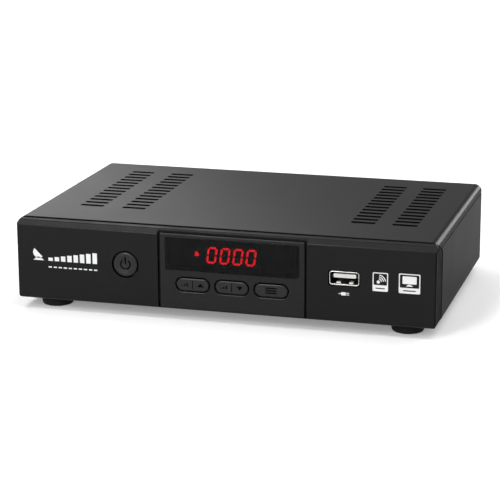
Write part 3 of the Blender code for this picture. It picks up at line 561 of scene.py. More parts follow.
def filleted(points, steps=4, closed=True):
    """A line through (u, v, radius) points, with each corner rounded to its radius."""
    line = []
    count = len(points)
    for i, (u, v, radius) in enumerate(points):
        here = Vector((u, v))
        if radius < tiny or (not closed and i in (0, count - 1)):
            line.append((u, v))
            continue
        before = (Vector(points[i - 1][:2]) - here).normalized()
        after = (Vector(points[(i + 1) % count][:2]) - here).normalized()
        half = before.angle(after) / 2
        middle = here + (before + after).normalized() * radius / math.sin(half)
        start = here + before * radius / math.tan(half) - middle
        turn = math.pi - 2 * half
        if start.x * after.y - start.y * after.x < 0:
            turn = -turn
        for step in range(steps + 1):
            point = middle + Matrix.Rotation(turn * step / steps, 2) @ start
            line.append((point.x, point.y))
    return line


def combined(target, operation, *others):
    """Cuts, joins or trims a piece with others, which are used up. Cut walls take their finish."""
    for other in others:
        boolean = target.modifiers.new(operation, "BOOLEAN")
        boolean.operation = operation
        boolean.object = other
        boolean.solver = "EXACT"
        boolean.material_mode = "TRANSFER"
    settled(target)
    for other in others:
        bpy.data.objects.remove(other)
    return target


def cut(piece, outlines, start, end, lay=on_front, material=None):
    """Cuts away what the outlines cover between two depths."""
    return combined(piece, "DIFFERENCE", solid("cutter", outlines, start, end, lay, material))


def extended(piece, outlines, start, end, lay, material):
    """Joins on what the outlines cover between two depths."""
    return combined(piece, "UNION", solid("extension", outlines, start, end, lay, material))


def rounded(piece, width, segments=2, where=None, sharp=math.radians(32)):
    """Rounds the sharp edges of a piece, or those of them whose middle is where it is asked."""
    shape = bmesh.new()
    shape.from_mesh(piece.data)
    bmesh.ops.remove_doubles(shape, verts=shape.verts, dist=tiny * 10)
    edges = []
    for edge in shape.edges:
        middle = (edge.verts[0].co + edge.verts[1].co) / 2
        local = (middle.x, middle.y - face_y, middle.z - base_z)
        if edge.is_manifold and edge.calc_face_angle() > sharp and (where is None or where(*local)):
            edges.append(edge)
    bmesh.ops.bevel(
        shape,
        geom=edges,
        offset=width,
        offset_type="OFFSET",
        segments=segments,
        profile=0.5,
        affect="EDGES",
        clamp_overlap=False,
        loop_slide=True,
        material=-1,
    )
    shape.to_mesh(piece.data)
    shape.free()
    return piece


def shaded(piece, sharp=math.radians(32)):
    """Gives a piece even, smooth shading between its sharp edges."""
    piece.data.shade_smooth()
    piece.data.set_sharp_from_angle(angle=sharp)
    even = piece.modifiers.new("even shading", "WEIGHTED_NORMAL")
    even.keep_sharp = True
    return settled(piece)


def fitted(piece, body=housing, stands_for=()):
    """Shades a piece, ties it to its body and hides the nodes that it stands for."""
    shaded(piece)
    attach(piece, body)
    if stands_for:
        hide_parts(*stands_for)
    return piece


# Finishes

def look(name, **constants):
    """A new finish: its tree, its shader and the object's own coordinates."""
    material = bpy.data.materials.new(name)
    material.use_nodes = True
    shader = material.node_tree.nodes["Principled BSDF"]
    for socket, value in constants.items():
        shader.inputs[socket.replace("_", " ")].default_value = value
    tree = Tree(material.node_tree)
    return tree, shader, tree.add("ShaderNodeTexCoord").outputs["Object"]


def noise(tree, place, size, detail=3.0, rough=0.5):
    """Fine or broad unevenness whose lumps have about this size."""
    values = {"Vector": place, "Scale": 1 / size, "Detail": detail, "Roughness": rough}
    return tree.add("ShaderNodeTexNoise", values).outputs["Fac"]


def between(tree, factor, low, high):
    """Stretches the middle part of a noise to the range from low to high."""
    least, most = 0.3, 0.7
    values = {"Value": factor, "From Min": least, "From Max": most, "To Min": low, "To Max": high}
    return tree.add("ShaderNodeMapRange", values).outputs[0]


def mixed(tree, factor, first, second):
    """A blend of two shades by a factor."""
    values = {"Factor": factor, "A": (*first, 1.0), "B": (*second, 1.0)}
    mix = tree.add("ShaderNodeMix", data_type="RGBA")
    for socket, value in values.items():
        target = next(s for s in mix.inputs if s.name == socket and s.enabled)
        if isinstance(value, bpy.types.NodeSocket):
            tree.link(value, target)
        else:
            target.default_value = value
    return next(s for s in mix.outputs if s.enabled)


def times(shade, factor):
    """A shade made lighter or darker."""
    return tuple(min(1.0, part * factor) for part in shade)


def bumped(tree, shader, height, distance, strength=1.0):
    """Gives a shader a fine relief."""
    values = {"Height": height, "Distance": distance, "Strength": strength}
    bump = tree.add("ShaderNodeBump", values)
    tree.link(bump.outputs[0], shader.inputs["Normal"])


def moulded(name, shade, roughness, grain, depth, variation=0.12, specular=0.5):
    """Moulded plastic: a fine spark-eroded grain, and slight changes of shade and gloss."""
    tree, shader, place = look(name, Specular_IOR_Level=specular)
    fine = noise(tree, place, grain)
    broad = noise(tree, place, 14 * mm, 2.0)
    spots = noise(tree, place, 1.1 * mm)
    tone = mixed(tree, spots, times(shade, 1 - variation), times(shade, 1 + variation))
    tree.link(tone, shader.inputs["Base Color"])
    uneven = 0.06
    gloss = between(tree, broad, roughness - uneven, roughness + uneven)
    tree.link(gloss, shader.inputs["Roughness"])
    bumped(tree, shader, fine, depth)


def painted(name, shade, roughness, specular):
    """Satin baked paint on steel: a fine skin with faint changes of shade and gloss."""
    tree, shader, place = look(name, Specular_IOR_Level=specular)
    skin = noise(tree, place, 0.35 * mm)
    tone = mixed(tree, noise(tree, place, 0.7 * mm), times(shade, 0.9), times(shade, 1.1))
    tree.link(tone, shader.inputs["Base Color"])
    uneven = 0.01
    gloss = between(tree, noise(tree, place, 25 * mm, 1.0), roughness - uneven, roughness + uneven)
    tree.link(gloss, shader.inputs["Roughness"])
    bumped(tree, shader, skin, 0.003 * mm)


def brushed(name, shade, roughness, streak=(1.0, 1.0, 1.0)):
    """Plated or bare metal with fine drawn streaks and small changes of gloss."""
    tree, shader, place = look(name, Metallic=1.0)
    drawn = tree.add("ShaderNodeMapping", {"Vector": place, "Scale": streak}).outputs[0]
    lines = noise(tree, drawn, 0.2 * mm)
    tone = mixed(tree, lines, times(shade, 0.86), times(shade, 1.08))
    tree.link(tone, shader.inputs["Base Color"])
    gloss = between(tree, noise(tree, place, 1.5 * mm), roughness - 0.05, roughness + 0.08)
    tree.link(gloss, shader.inputs["Roughness"])
    bumped(tree, shader, lines, 0.004 * mm)


def smoked(name, shade):
    """Smoked clear plastic: light passes it weakly, and its skin holds faint wiping marks."""
    tree, shader, place = look(name, Alpha=0.86, Specular_IOR_Level=0.1)
    wiped = tree.add("ShaderNodeMapping", {"Vector": place, "Scale": (1.0, 1.0, 0.15)}).outputs[0]
    marks = noise(tree, wiped, 2.5 * mm, 4.0)
    tone = mixed(tree, marks, times(shade, 0.8), times(shade, 1.3))
    tree.link(tone, shader.inputs["Base Color"])
    tree.link(between(tree, marks, 0.06, 0.12), shader.inputs["Roughness"])
    bumped(tree, shader, noise(tree, place, 8 * mm, 1.0), 0.01 * mm, 0.5)


def lit(name, shade, strength):
    """A lit diffuser: a bright middle that falls off a little in fine unevenness."""
    tree, shader, place = look(name, Roughness=0.4, Emission_Strength=strength)
    uneven = noise(tree, place, 0.6 * mm)
    tree.link(mixed(tree, uneven, times(shade, 0.8), shade), shader.inputs["Emission Color"])
    unlit = mixed(tree, uneven, times(shade, 0.4), times(shade, 0.6))
    tree.link(unlit, shader.inputs["Base Color"])


def printed_board(name, shade):
    """Green lacquer over copper tracks, with tinned dots."""
    track_spacing = 3.2 * mm
    track_width = 0.06
    dot_spacing = 1.9 * mm
    dot_width = 0.17
    tin = (0.55, 0.55, 0.52)
    tree, shader, place = look(name, Specular_IOR_Level=0.4)
    values = {"Vector": place, "Scale": 1 / track_spacing}
    cells = tree.add("ShaderNodeTexVoronoi", values, feature="DISTANCE_TO_EDGE").outputs["Distance"]
    tracks = tree.sum("LESS_THAN", cells, track_width)
    values = {"Vector": place, "Scale": 1 / dot_spacing, "Randomness": 0.6}
    spots = tree.add("ShaderNodeTexVoronoi", values).outputs["Distance"]
    dots = tree.sum("LESS_THAN", spots, dot_width)
    lacquer = mixed(tree, tracks, shade, times(shade, 1.9))
    tinned = mixed(tree, dots, (0, 0, 0), tin)
    blend = tree.add("ShaderNodeMix", data_type="RGBA", blend_type="LIGHTEN")
    factor, below, above = [socket for socket in blend.inputs if socket.enabled]
    factor.default_value = 1.0
    tree.link(lacquer, below)
    tree.link(tinned, above)
    tone = next(socket for socket in blend.outputs if socket.enabled)
    tree.link(tone, shader.inputs["Base Color"])
    tree.link(between(tree, noise(tree, place, 2 * mm), 0.3, 0.5), shader.inputs["Roughness"])
    bumped(tree, shader, tracks, 0.03 * mm)


def finish(slot):
    """The finish that belongs to a slot."""
    return bpy.data.materials[slot + "_finish"]


def make_finishes():
    """Makes every finish and gives the CAD's own pieces theirs."""
    shades = settings("finish")
    paint = tuple(shades.paint)
    plastic = tuple(shades.plastic)
    painted("black_paint_finish", paint, 0.22, 0.003)
    painted("tray_paint_finish", paint, 0.29, 0.003)
    moulded("black_plastic_finish", plastic, 0.34, 0.22 * mm, 0.002 * mm, specular=0.155)
    moulded("side_plastic_finish", plastic, 0.44, 0.22 * mm, 0.002 * mm, specular=0.003)
    # A lighter copy of the front's plastic for its rounded upright corners: painted light on the corners.
    painted_light_shade = times(plastic, 1.5)
    moulded("painted_light_corner_plastic_finish", painted_light_shade, 0.34, 0.22 * mm, 0.002 * mm, specular=0.06)
    moulded("fascia_plastic_finish", tuple(shades.fascia), 0.3, 0.3 * mm, 0.002 * mm, specular=0.22)
    moulded("key_plastic_finish", tuple(shades.keys), 0.32, 0.2 * mm, 0.002 * mm, specular=0.32)
    # A near black finish for the walls and floors of the sunk marks: painted shade in these hollows.
    moulded("engraving_finish", (0.002, 0.002, 0.002), 0.6, 0.2 * mm, 0.004 * mm, specular=0.02)
    # A darker, rougher paint for the metal's cut walls: painted shade inside the vent slots and in the seam
    # behind the front.
    moulded("painted_shade_cut_finish", (0.004, 0.004, 0.004), 0.7, 0.2 * mm, 0.004 * mm, specular=0.01)
    # Darker metal; on the inner walls of the front socket it stands for painted shade.
    brushed("dark_metal_finish", (0.05, 0.05, 0.05), 0.5)
    smoked("smoked_window_finish", tuple(shades.window))
    lit("red_display_finish", tuple(shades.glow), settings("display").glow)
    moulded("module_finish", (0.004, 0.004, 0.0045), 0.5, 0.3 * mm, 0.01 * mm, specular=0.1)
    printed_board("circuit_board_finish", tuple(shades.board))
    brushed("bright_metal_finish", (0.62, 0.62, 0.6), 0.24, (0.2, 1.0, 1.0))
    brushed("aluminium_finish", (0.6, 0.61, 0.62), 0.38, (1.0, 0.1, 1.0))
    brushed("gold_finish", (0.83, 0.6, 0.22), 0.22)
    moulded("white_plastic_finish", (0.78, 0.78, 0.76), 0.4, 0.3 * mm, 0.01 * mm, 0.04)
    moulded("grey_plastic_finish", (0.34, 0.34, 0.35), 0.5, 0.3 * mm, 0.01 * mm)
    moulded("yellow_plastic_finish", (0.80, 0.56, 0.03), 0.35, 0.3 * mm, 0.008 * mm, 0.05)
    moulded("red_plastic_finish", (0.56, 0.02, 0.02), 0.35, 0.3 * mm, 0.008 * mm, 0.05)
    moulded("chip_plastic_finish", (0.02, 0.02, 0.021), 0.55, 0.2 * mm, 0.02 * mm)
    moulded("rubber_finish", (0.010, 0.010, 0.010), 0.75, 0.25 * mm, 0.03 * mm, specular=0.15)
    moulded("marks_finish", tuple(shades.marks), 0.55, 0.12 * mm, 0.004 * mm, 0.06, specular=0.2)
    for node in frame["nodes"].values():
        for place in node.material_slots:
            place.material = finish(place.material.name)
    for place in frame["nodes"]["display_module"].material_slots:
        place.material = finish("module")


# Front

def bezel_shell():
    """The front's outer shape: its side view, trimmed to its front view and its plan."""
    front = settings("front")
    crown = Span("front_bezel").top
    crown_edge = 0.15 * mm
    face = front.print_room
    side_view = filleted([
        (face, 0, front.foot_edge),
        (front.side_depth + margin, 0, 0),
        (front.side_depth + margin, crown, 0),
        (front.crown_depth, crown, crown_edge),
        (front.slope_depth, front.slope_height + front.step, front.step_edge),
        (front.slope_depth, front.slope_height, front.step_edge),
        (face, front.face_height, front.face_edge),
    ], 7)
    wide = case.right + margin
    shell = solid("bezel_moulding", [side_view], -wide, wide, on_side, finish("black_plastic"))
    front_view = box_outline(
        case.left, case.right, 0, case.top, front.foot_corner, front.top_corner, 12
    )
    keeper = solid("front_view", [front_view], -margin, case.back, on_front, finish("side_plastic"))
    corner = front.front_corner
    plan_view = box_outline(case.left, case.right, face, case.back, corner, corner, 8)
    above = case.top + margin
    # The plan's cut faces, the rounded upright corners, take the lightened plastic: painted light.
    plan = solid("plan_view", [plan_view], -margin, above, on_top, finish("painted_light_corner_plastic"))
    combined(shell, "INTERSECT", keeper)
    combined(shell, "INTERSECT", plan)
    rear = front_edge_line(0, front.seam_relief)
    rear += [(case.back, above), (case.back, -margin)]
    return cut(shell, [rear], -wide, wide, on_side)


def add_lip(bezel):
    """Joins on the lip that reaches into the case, and clears the room inside it."""
    front = settings("front")
    inset = front.lip_inset
    lip = box_outline(
        case.left + inset, case.right - inset, inset, case.top - inset,
        front.foot_corner - inset, front.top_corner - inset,
    )
    lip_back = Span("front_bezel").back
    extended(bezel, [lip], front.lip_root, lip_back, on_front, finish("black_plastic"))
    wall = front.lip_wall
    inset += wall
    room = box_outline(case.left + inset, case.right - inset, inset, case.top - inset, wall, wall)
    cut(bezel, [room], front.plate, case.back)


def add_posts(bezel):
    """Joins on the two posts that carry the front board, with their screw holes."""
    front = settings("front")
    plastic = finish("black_plastic")
    for side in ("left", "right"):
        screw = Span("front_board_screw_" + side)
        post = circle(screw.across, screw.up, front.boss_radius, 32)
        extended(bezel, [post], front.plate - margin, Span("power_switch").back, on_front, plastic)
        hole = circle(screw.across, screw.up, front.boss_hole, 24)
        cut(bezel, [hole], front.plate + margin, case.back)


def cut_front_openings(bezel):
    """Cuts the openings for the button, the front socket, the window and the keys."""
    front = settings("front")
    buttons = settings("buttons")
    cap = power_span.width / 2 - buttons.cap_inset
    socket_gap = 0.5 * mm
    socket_corner = 1.3 * mm
    ledge = front.window_ledge - window_gap / 2
    openings = [
        circle(power_span.across, power_span.up, cap + buttons.slide_gap, 72),
        outline_of(usb_span, socket_gap, socket_corner, 4),
        outline_of(window_span, -ledge, front.window_corner),
    ]
    openings += [key_outline(span, buttons.slide_gap) for span in key_spans.values()]
    cut(bezel, openings, -margin, front.plate + margin / 2)


def make_bezel():
    """The moulded front: face, sloping band, step, returns, lip, posts and openings."""
    front = settings("front")
    bezel = bezel_shell()
    add_lip(bezel)
    add_posts(bezel)
    groove = front.groove
    foot_gap = 0.1 * mm
    left = fascia_span.left - groove
    right = fascia_span.right + groove
    foot = fascia_span.foot - foot_gap
    top = fascia_span.top + groove
    shoulder = top - front.gable / 2
    peak = top + front.gable
    gable_foot = groove * 1.6
    recess = [
        (left, foot),
        (right, foot),
        (right, shoulder),
        (right - groove / 2, peak),
        (right - gable_foot, top),
        (left + gable_foot, top),
        (left + groove / 2, peak),
        (left, shoulder),
    ]
    cut(bezel, [recess], -margin, front.recess_depth)
    cut_front_openings(bezel)

    def at_gable(across, back, up):
        beside = min(abs(across - left), abs(across - right)) < groove * 2
        return beside and back < front.recess_depth and up > top - groove

    def at_gable_mouth(across, back, up):
        return at_gable(across, back, up) and back < front.recess_depth - margin / 2

    def at_plain_edge(across, back, up):
        """Everywhere but at the gables and at the lower front edge, which is round already."""
        foot_band = 0.8 * mm
        face_band = 2 * mm
        return (up > foot_band or back > face_band) and not at_gable(across, back, up)

    rounded(bezel, front.gable_edge, 3, at_gable_mouth)
    rounded(bezel, front.edge, 2, at_plain_edge)
    fitted(bezel, stands_for=["front_bezel"])


def front_edge_line(offset, relief=0):
    """Side view of the front's rear edge, moved back by an offset and cut back at the sides."""
    front = settings("front")
    return [
        (front.side_depth + offset - relief, -margin),
        (front.side_depth + offset - relief, front.sweep_height),
        (front.crown_depth + offset, Span("front_bezel").top),
        (front.crown_depth + offset, case.top + margin),
    ]


def key_outline(span, gap):
    """A key's outline, grown by a gap all round."""
    inset = settings("buttons").cap_inset - gap
    return stadium(span.across, span.up, span.width - 2 * inset, span.tall - 2 * inset)


def make_fascia():
    """The glossier middle plate with its openings, and the smoked window in it."""
    front = settings("front")
    face = front.print_room / 2
    outline = rectangle_of(fascia_span)
    plate = solid("middle_plate", [outline], face, fascia_span.back, on_front, finish("fascia_plastic"))
    openings = [outline_of(window_span, window_gap, front.window_corner)]
    openings += [key_outline(span, settings("buttons").slide_gap) for span in key_spans.values()]
    cut(plate, openings, -margin, margin * 4)

    def near_window(across, back, up):
        beside = window_span.left - margin < across < window_span.right + margin
        return beside and window_span.foot - margin < up < window_span.top + margin

    def away_from_window(across, back, up):
        return not near_window(across, back, up)

    rounded(plate, front.fascia_edge, 3, away_from_window)
    rounded(plate, window_gap / 2, 1, near_window)
    fitted(plate, stands_for=["centre_fascia"])
    pane = outline_of(window_span, 0, front.window_corner - window_gap)
    window = solid("window_pane", [pane], face, window_span.back, on_front, finish("smoked_window"))
    rounded(window, window_gap, 2)
    fitted(window, stands_for=["display_window"])


def power_mark(across, up, back):
    """A cutter for the standard power mark: a ring open at its top, and a bar in the opening."""
    buttons = settings("buttons")
    half = buttons.mark_line / 2
    ring_start, ring_end = 125, 415
    bar_foot = 0.2 * mm
    bar_rise = 1.1 * mm
    ring = arc(across, up, buttons.ring_radius + half, ring_start, ring_end, 40)
    ring += arc(across, up, buttons.ring_radius - half, ring_end, ring_start, 40)
    bar_top = up + buttons.ring_radius + bar_rise
    bar = rectangle(across - half, across + half, up + bar_foot, bar_top)
    depth = back + buttons.engraving
    # The cutter passes the near black finish to the sunk mark's walls and floor: painted shade.
    return solid("mark", [ring, bar], back - margin, depth, on_front, finish("engraving"))


def before(limit):
    """Picks what lies in front of a depth."""
    return lambda across, back, up: back < limit


def make_buttons():
    """The round power button and the three keys, with their sunk marks."""
    flange_front = 3.3 * mm
    flange_back = flange_front + settings("buttons").flange
    make_power_button(flange_front, flange_back)
    for name, span in key_spans.items():
        make_key(name, span, flange_front, flange_back)


def make_power_button(flange_front, flange_back):
    """The round power button: a hollowed cap, its flange and its stem."""
    buttons = settings("buttons")
    flange = power_span.width / 2
    cap = flange - buttons.cap_inset
    edge = buttons.cap_edge
    rim = 0.2 * mm
    slope_width = 4.5 * mm
    steps = 8
    hollow = []
    for i in range(steps):
        fall = 1 - (1 - i / steps) ** 2
        hollow.append((cap - edge - rim - slope_width * i / steps, -buttons.dish * fall))
    profile = [(0, -buttons.dish)] + hollow[::-1]
    profile += [(cap - edge + r, h - edge) for r, h in arc(0, 0, edge, 90, 0, 5)]
    profile += [
        (cap, -flange_front),
        (flange, -flange_front),
        (flange, -flange_back),
        (buttons.stem_radius, -flange_back),
        (buttons.stem_radius, -power_span.back),
        (0, -power_span.back),
    ]
    lay = facing_front(power_span.across, 0, power_span.up)
    button = lathed("power_cap", profile, lay, 72, finish("key_plastic"))
    combined(button, "DIFFERENCE", power_mark(power_span.across, power_span.up, buttons.dish))
    rounded(button, buttons.mark_edge, 1, before(buttons.dish * 1.5))
    fitted(button, "power_press_body", ["power_button"])


def make_key(name, span, flange_front, flange_back):
    """A key: a round-ended cap with its sunk marks, its flange and its stem."""
    buttons = settings("buttons")
    plastic = finish("key_plastic")
    face = 0.05 * mm
    cap_back = flange_front + buttons.flange / 2
    key = solid(name + "_cap", [key_outline(span, 0)], face, cap_back, on_front, plastic)
    rounded(key, buttons.key_edge, 4, before(margin / 2))
    flange = key_outline(span, buttons.cap_inset)
    extended(key, [flange], flange_front, flange_back, on_front, plastic)
    stem = circle(span.across, span.up, buttons.stem_radius, 32)
    extended(key, [stem], flange_front, span.back, on_front, plastic)
    marks = key_marks(name, span.across, span.up)
    # The sunk marks take the near black finish on their walls and floors: painted shade.
    cut(key, marks, -margin, face + buttons.engraving, on_front, finish("engraving"))
    rounded(key, buttons.mark_edge / 2, 1, before(face + buttons.engraving / 2))
    fitted(key, name.replace("_key", "_press_body"), [name])


def key_marks(name, across, up):
    """Plain marks for a key: a divider with bars and an arrow, or three bars for the list."""
    thin = 0.28 * mm
    if name == "menu_key":
        line_step = 1.15 * mm
        line_reach = 2.6 * mm
        return [centred(across, up + row * line_step, line_reach, thin) for row in (-1, 0, 1)]
    divider_reach = 2 * mm
    outlines = [centred(across, up, thin / 2, divider_reach)]
    bars_across = across - 3.8 * mm
    bar_step = 1.3 * mm
    bar_rise = 0.55 * mm
    bar_foot = up - 0.9 * mm
    for place in (-1, 0, 1):
        middle = bars_across + place * bar_step
        tall = (place + 2) * bar_rise
        outlines.append(rectangle(middle - thin, middle + thin, bar_foot, bar_foot + tall))
    side = 1 if name == "channel_up_key" else -1
    arrow_across = across + 3.8 * mm
    arrow_reach = 1.5 * mm
    tip = up + side * 1.0 * mm
    foot = up - side * 0.8 * mm
    arrow = [(arrow_across - arrow_reach, foot), (arrow_across + arrow_reach, foot), (arrow_across, tip)]
    return outlines + [arrow]


def digit_tree():
    """Lit digits: pointed strokes round an open eight, copied along a line and laid on the front."""
    tree = GeometryTree(
        "Lit digits", digits="Int", pitch="Float", width="Float", height="Float", stroke="Float",
        gap="Float", slant="Float", thickness="Float", place="Vector",
    )
    entry = tree.entry
    half_height = tree.sum("MULTIPLY", entry["Height"], 0.5)
    half_width = tree.sum("MULTIPLY", entry["Width"], 0.5)

    def stroke(size):
        radius = tree.sum("MULTIPLY", entry["Stroke"], 1 / math.sqrt(3))
        values = {"Vertices": 6, "Radius": radius, "Depth": entry["Thickness"]}
        bar = tree.add("GeometryNodeMeshCylinder", values).outputs["Mesh"]
        room = tree.sum("SUBTRACT", size, entry["Gap"])
        reach = tree.sum("SUBTRACT", room, tree.sum("MULTIPLY", radius, 2.0))
        place = tree.add("GeometryNodeInputPosition").outputs[0]
        across = tree.add("ShaderNodeSeparateXYZ", {0: place}).outputs[0]
        offset = tree.sum("MULTIPLY", tree.sum("SIGN", across), tree.sum("MULTIPLY", reach, 0.5))
        return tree.shifted(bar, tree.vector(offset))

    flat = stroke(entry["Width"])
    tall = tree.moved(stroke(half_height), Rotation=(0, 0, math.radians(90)))
    parts = []
    for side in (-1.0, 1.0):
        parts.append(tree.moved(flat, Translation=tree.vector(y=tree.sum("MULTIPLY", half_height, side))))
        for level in (-0.5, 0.5):
            x = tree.sum("MULTIPLY", half_width, side)
            y = tree.sum("MULTIPLY", half_height, level)
            parts.append(tree.moved(tall, Translation=tree.vector(x, y)))
    digit = tree.joined(*parts)
    here = tree.add("GeometryNodeInputPosition").outputs[0]
    height = tree.add("ShaderNodeSeparateXYZ", {0: here}).outputs[1]
    lean = tree.sum("MULTIPLY", height, tree.sum("TANGENT", entry["Slant"]))
    digit = tree.shifted(digit, tree.vector(lean))
    span = tree.sum("MULTIPLY", tree.sum("SUBTRACT", entry["Digits"], 1.0), entry["Pitch"])
    start = tree.vector(tree.sum("MULTIPLY", span, -0.5))
    points = tree.line(entry["Digits"], start, tree.vector(entry["Pitch"]))
    row = tree.copies(points, digit)
    upright = (math.radians(90), 0, 0)
    return tree.end(tree.moved(row, Translation=entry["Place"], Rotation=upright))


def make_display():
    """The four lit digits on their module, and the round indicator beside them."""
    display = settings("display")
    place = at(module_span.across, module_span.front - display.thickness / 2, module_span.up)
    digits = grown(
        "lit_digits", digit_tree(), digits=display.digits, pitch=display.pitch, width=display.width,
        height=display.height, stroke=display.stroke, gap=display.gap, slant=display.slant,
        thickness=display.thickness, place=place, material=finish("red_display"),
    )
    fitted(digits)
    make_indicator()


def make_indicator():
    """The round indicator: a domed lens in a black collar."""
    across, front, up = indicator_span.across, indicator_span.front, indicator_span.up
    lens = 1.05 * mm
    dome = 0.8 * mm
    lift = 0.1 * mm
    lens_depth = 3 * mm
    profile = [(0, lift)]
    for angle in range(12, 91, 12):
        turn = math.radians(angle)
        profile.append((lens * math.sin(turn), -dome * (1 - math.cos(turn)) + lift))
    profile += [(lens, -lens_depth), (0, -lens_depth)]
    lay = facing_front(across, front + lift, up)
    lamp = lathed("indicator_lens", profile, lay, 32, finish("red_display"))
    fitted(lamp, stands_for=["status_led"])
    hole = lens + 0.05 * mm
    radius = indicator_span.width / 2
    collar_depth = 7 * mm
    collar = [
        (hole, -0.6 * mm),
        (radius, -0.8 * mm),
        (radius, -collar_depth),
        (hole, -collar_depth),
    ]
    lay = facing_front(across, front, up)
    ring = lathed_ring("indicator_collar", collar, lay, 32, finish("module"))
    fitted(ring)


def rows_tree():
    """Copies of one piece in rows and columns."""
    tree = GeometryTree(
        "Rows of copies", columns="Int", column_step="Vector", rows="Int", row_step="Vector"
    )
    entry = tree.entry
    row = tree.line(entry["Rows"], (0, 0, 0), entry["Row step"])
    columns = tree.line(entry["Columns"], (0, 0, 0), entry["Column step"])
    points = tree.real(tree.copies(columns, row))
    return tree.end(tree.copies(points, entry["Geometry"]))


def copied(name, base, material, columns=1, column_step=(0, 0, 0), rows=1, row_step=(0, 0, 0)):
    """One piece made of copies of another, which is used up."""
    group = bpy.data.node_groups.get("Rows of copies") or rows_tree()
    return grown(
        name, group, base, columns=columns, column_step=column_step, rows=rows, row_step=row_step,
        material=material,
    )


def make_front_socket():
    """The metal socket in the front: shell, spring tabs, tongue and its four contacts."""
    sockets = settings("sockets")
    wall = sockets.shell_wall
    corner = sockets.shell_corner
    outline = outline_of(usb_span, 0, corner, 5)
    metal = finish("bright_metal")
    shell = solid("front_socket_shell", [outline], usb_span.front, usb_span.back, on_front, metal)
    floor_up = usb_span.foot + wall * 1.7
    inner = corner - wall
    room = box_outline(
        usb_span.left + wall, usb_span.right - wall, floor_up, usb_span.top - wall, inner, inner, 5
    )
    # The room's walls take the darker metal finish: painted shade inside the shell.
    cut(shell, [room], -margin, usb_span.back - wall, on_front, finish("dark_metal"))
    shell_edge = 0.13 * mm
    rounded(shell, shell_edge, 2)
    fitted(shell, stands_for=["usb_shell"])
    make_socket_tabs(floor_up)
    make_socket_tongue()


def make_socket_tabs(floor_up):
    """The two spring tabs on the floor of the front socket's shell."""
    metal = finish("bright_metal")
    tab_left = usb_span.across - 3.9 * mm
    tab_width = 2 * mm
    tab_step = 5.8 * mm
    tab_back = 7 * mm
    tab_edge = 0.08 * mm
    side_view = [
        (1.6 * mm, floor_up),
        (tab_back, floor_up),
        (tab_back, floor_up + 0.15 * mm),
        (3.2 * mm, floor_up + 0.75 * mm),
        (2.2 * mm, floor_up + 0.7 * mm),
    ]
    tab = solid("socket_tab", [side_view], tab_left, tab_left + tab_width, on_side, metal)
    rounded(tab, tab_edge, 2)
    tabs = copied("socket_tabs", tab, metal, columns=2, column_step=(tab_step, 0, 0))
    fitted(tabs)


def make_socket_tongue():
    """The front socket's white tongue and its four contacts."""
    white = finish("white_plastic")
    tongue_edge = 0.2 * mm
    root_front = tongue_span.back - 3 * mm
    root = rectangle_of(tongue_span)
    tongue = solid("socket_tongue", [root], root_front, tongue_span.back, on_front, white)
    blade_up = usb_span.up + 0.9 * mm
    blade_reach = 5.2 * mm
    blade_half = 0.95 * mm
    blade = centred(usb_span.across, blade_up, blade_reach, blade_half)
    extended(tongue, [blade], tongue_span.front, tongue_span.back - margin, on_front, white)
    rounded(tongue, tongue_edge, 2)
    fitted(tongue, stands_for=["usb_tongue"])
    first = usb_span.across - 3.5 * mm
    half = settings("sockets").contact_width / 2
    contact_front = tongue_span.front + 0.6 * mm
    contact_step = 7 * mm / 3
    contact_foot = blade_up - 1.1 * mm
    contact = rectangle(first - half, first + half, contact_foot, blade_up - blade_half)
    strip = solid("contact", [contact], contact_front, root_front, on_front)
    contacts = copied(
        "socket_contacts", strip, finish("gold"), columns=4, column_step=(contact_step, 0, 0)
    )
    fitted(contacts)


def printed(name, outlines):
    """A mark printed on the face, a little proud of it."""
    print_front = 0.012 * mm
    print_back = settings("front").print_room + 0.05 * mm
    return solid(name, outlines, print_front, print_back, on_front, finish("marks"))


def make_marks():
    """Plain printed marks on the front: a dish with level bars, a plug, and two framed signs."""
    make_level_mark()
    make_plug_mark()
    make_dish_sign()
    make_screen_sign()


def make_level_mark():
    """A small dish on its foot, and rising bars over a dashed line."""
    dish_middle = Vector((-89.2 * mm, 22.6 * mm))
    dish_radius = 2.7 * mm
    lean = Matrix.Rotation(math.radians(-45), 2)
    bowl = []
    for u, v in arc(0, 0, dish_radius, 180, 360, 20):
        point = lean @ Vector((u, v)) + dish_middle
        bowl.append((point.x, point.y))
    baseline = 18.9 * mm
    foot_top = 20.5 * mm
    foot = [
        (-91.9 * mm, baseline),
        (-86.5 * mm, baseline),
        (-88.4 * mm, foot_top),
        (-90.0 * mm, foot_top),
    ]
    outlines = [bowl, foot]
    row_left = -84.3 * mm
    bar_width = 2.2 * mm
    bar_step = 3.15 * mm
    lowest_bar = 1.5 * mm
    bar_rise = 0.52 * mm
    for place in range(8):
        left = row_left + bar_step * place
        tall = lowest_bar + bar_rise * place
        outlines.append(rectangle(left, left + bar_width, baseline, baseline + tall))
    dash_width = 1.6 * mm
    dash_step = 2.52 * mm
    dash_foot = 15.6 * mm
    dash_top = 16.2 * mm
    for place in range(10):
        left = row_left + dash_step * place
        outlines.append(rectangle(left, left + dash_width, dash_foot, dash_top))
    fitted(printed("printed_level_mark", outlines))


def make_plug_mark():
    """A small plug and lead under the front socket."""
    across = usb_span.across
    up = usb_span.foot - 3.8 * mm
    lead_left = across - 2.4 * mm
    lead_half = 0.16 * mm
    body_left = across - 1.3 * mm
    body_right = across + 0.9 * mm
    body_half = 0.75 * mm
    corner = 0.3 * mm
    pin_left = across + 1.1 * mm
    pin_right = across + 2.4 * mm
    pin_low = 0.25 * mm
    pin_high = 0.55 * mm
    outlines = [
        rectangle(lead_left, body_left, up - lead_half, up + lead_half),
        box_outline(body_left, body_right, up - body_half, up + body_half, corner, corner, 3),
        rectangle(pin_left, pin_right, up + pin_low, up + pin_high),
        rectangle(pin_left, pin_right, up - pin_high, up - pin_low),
    ]
    fitted(printed("printed_plug_mark", outlines))


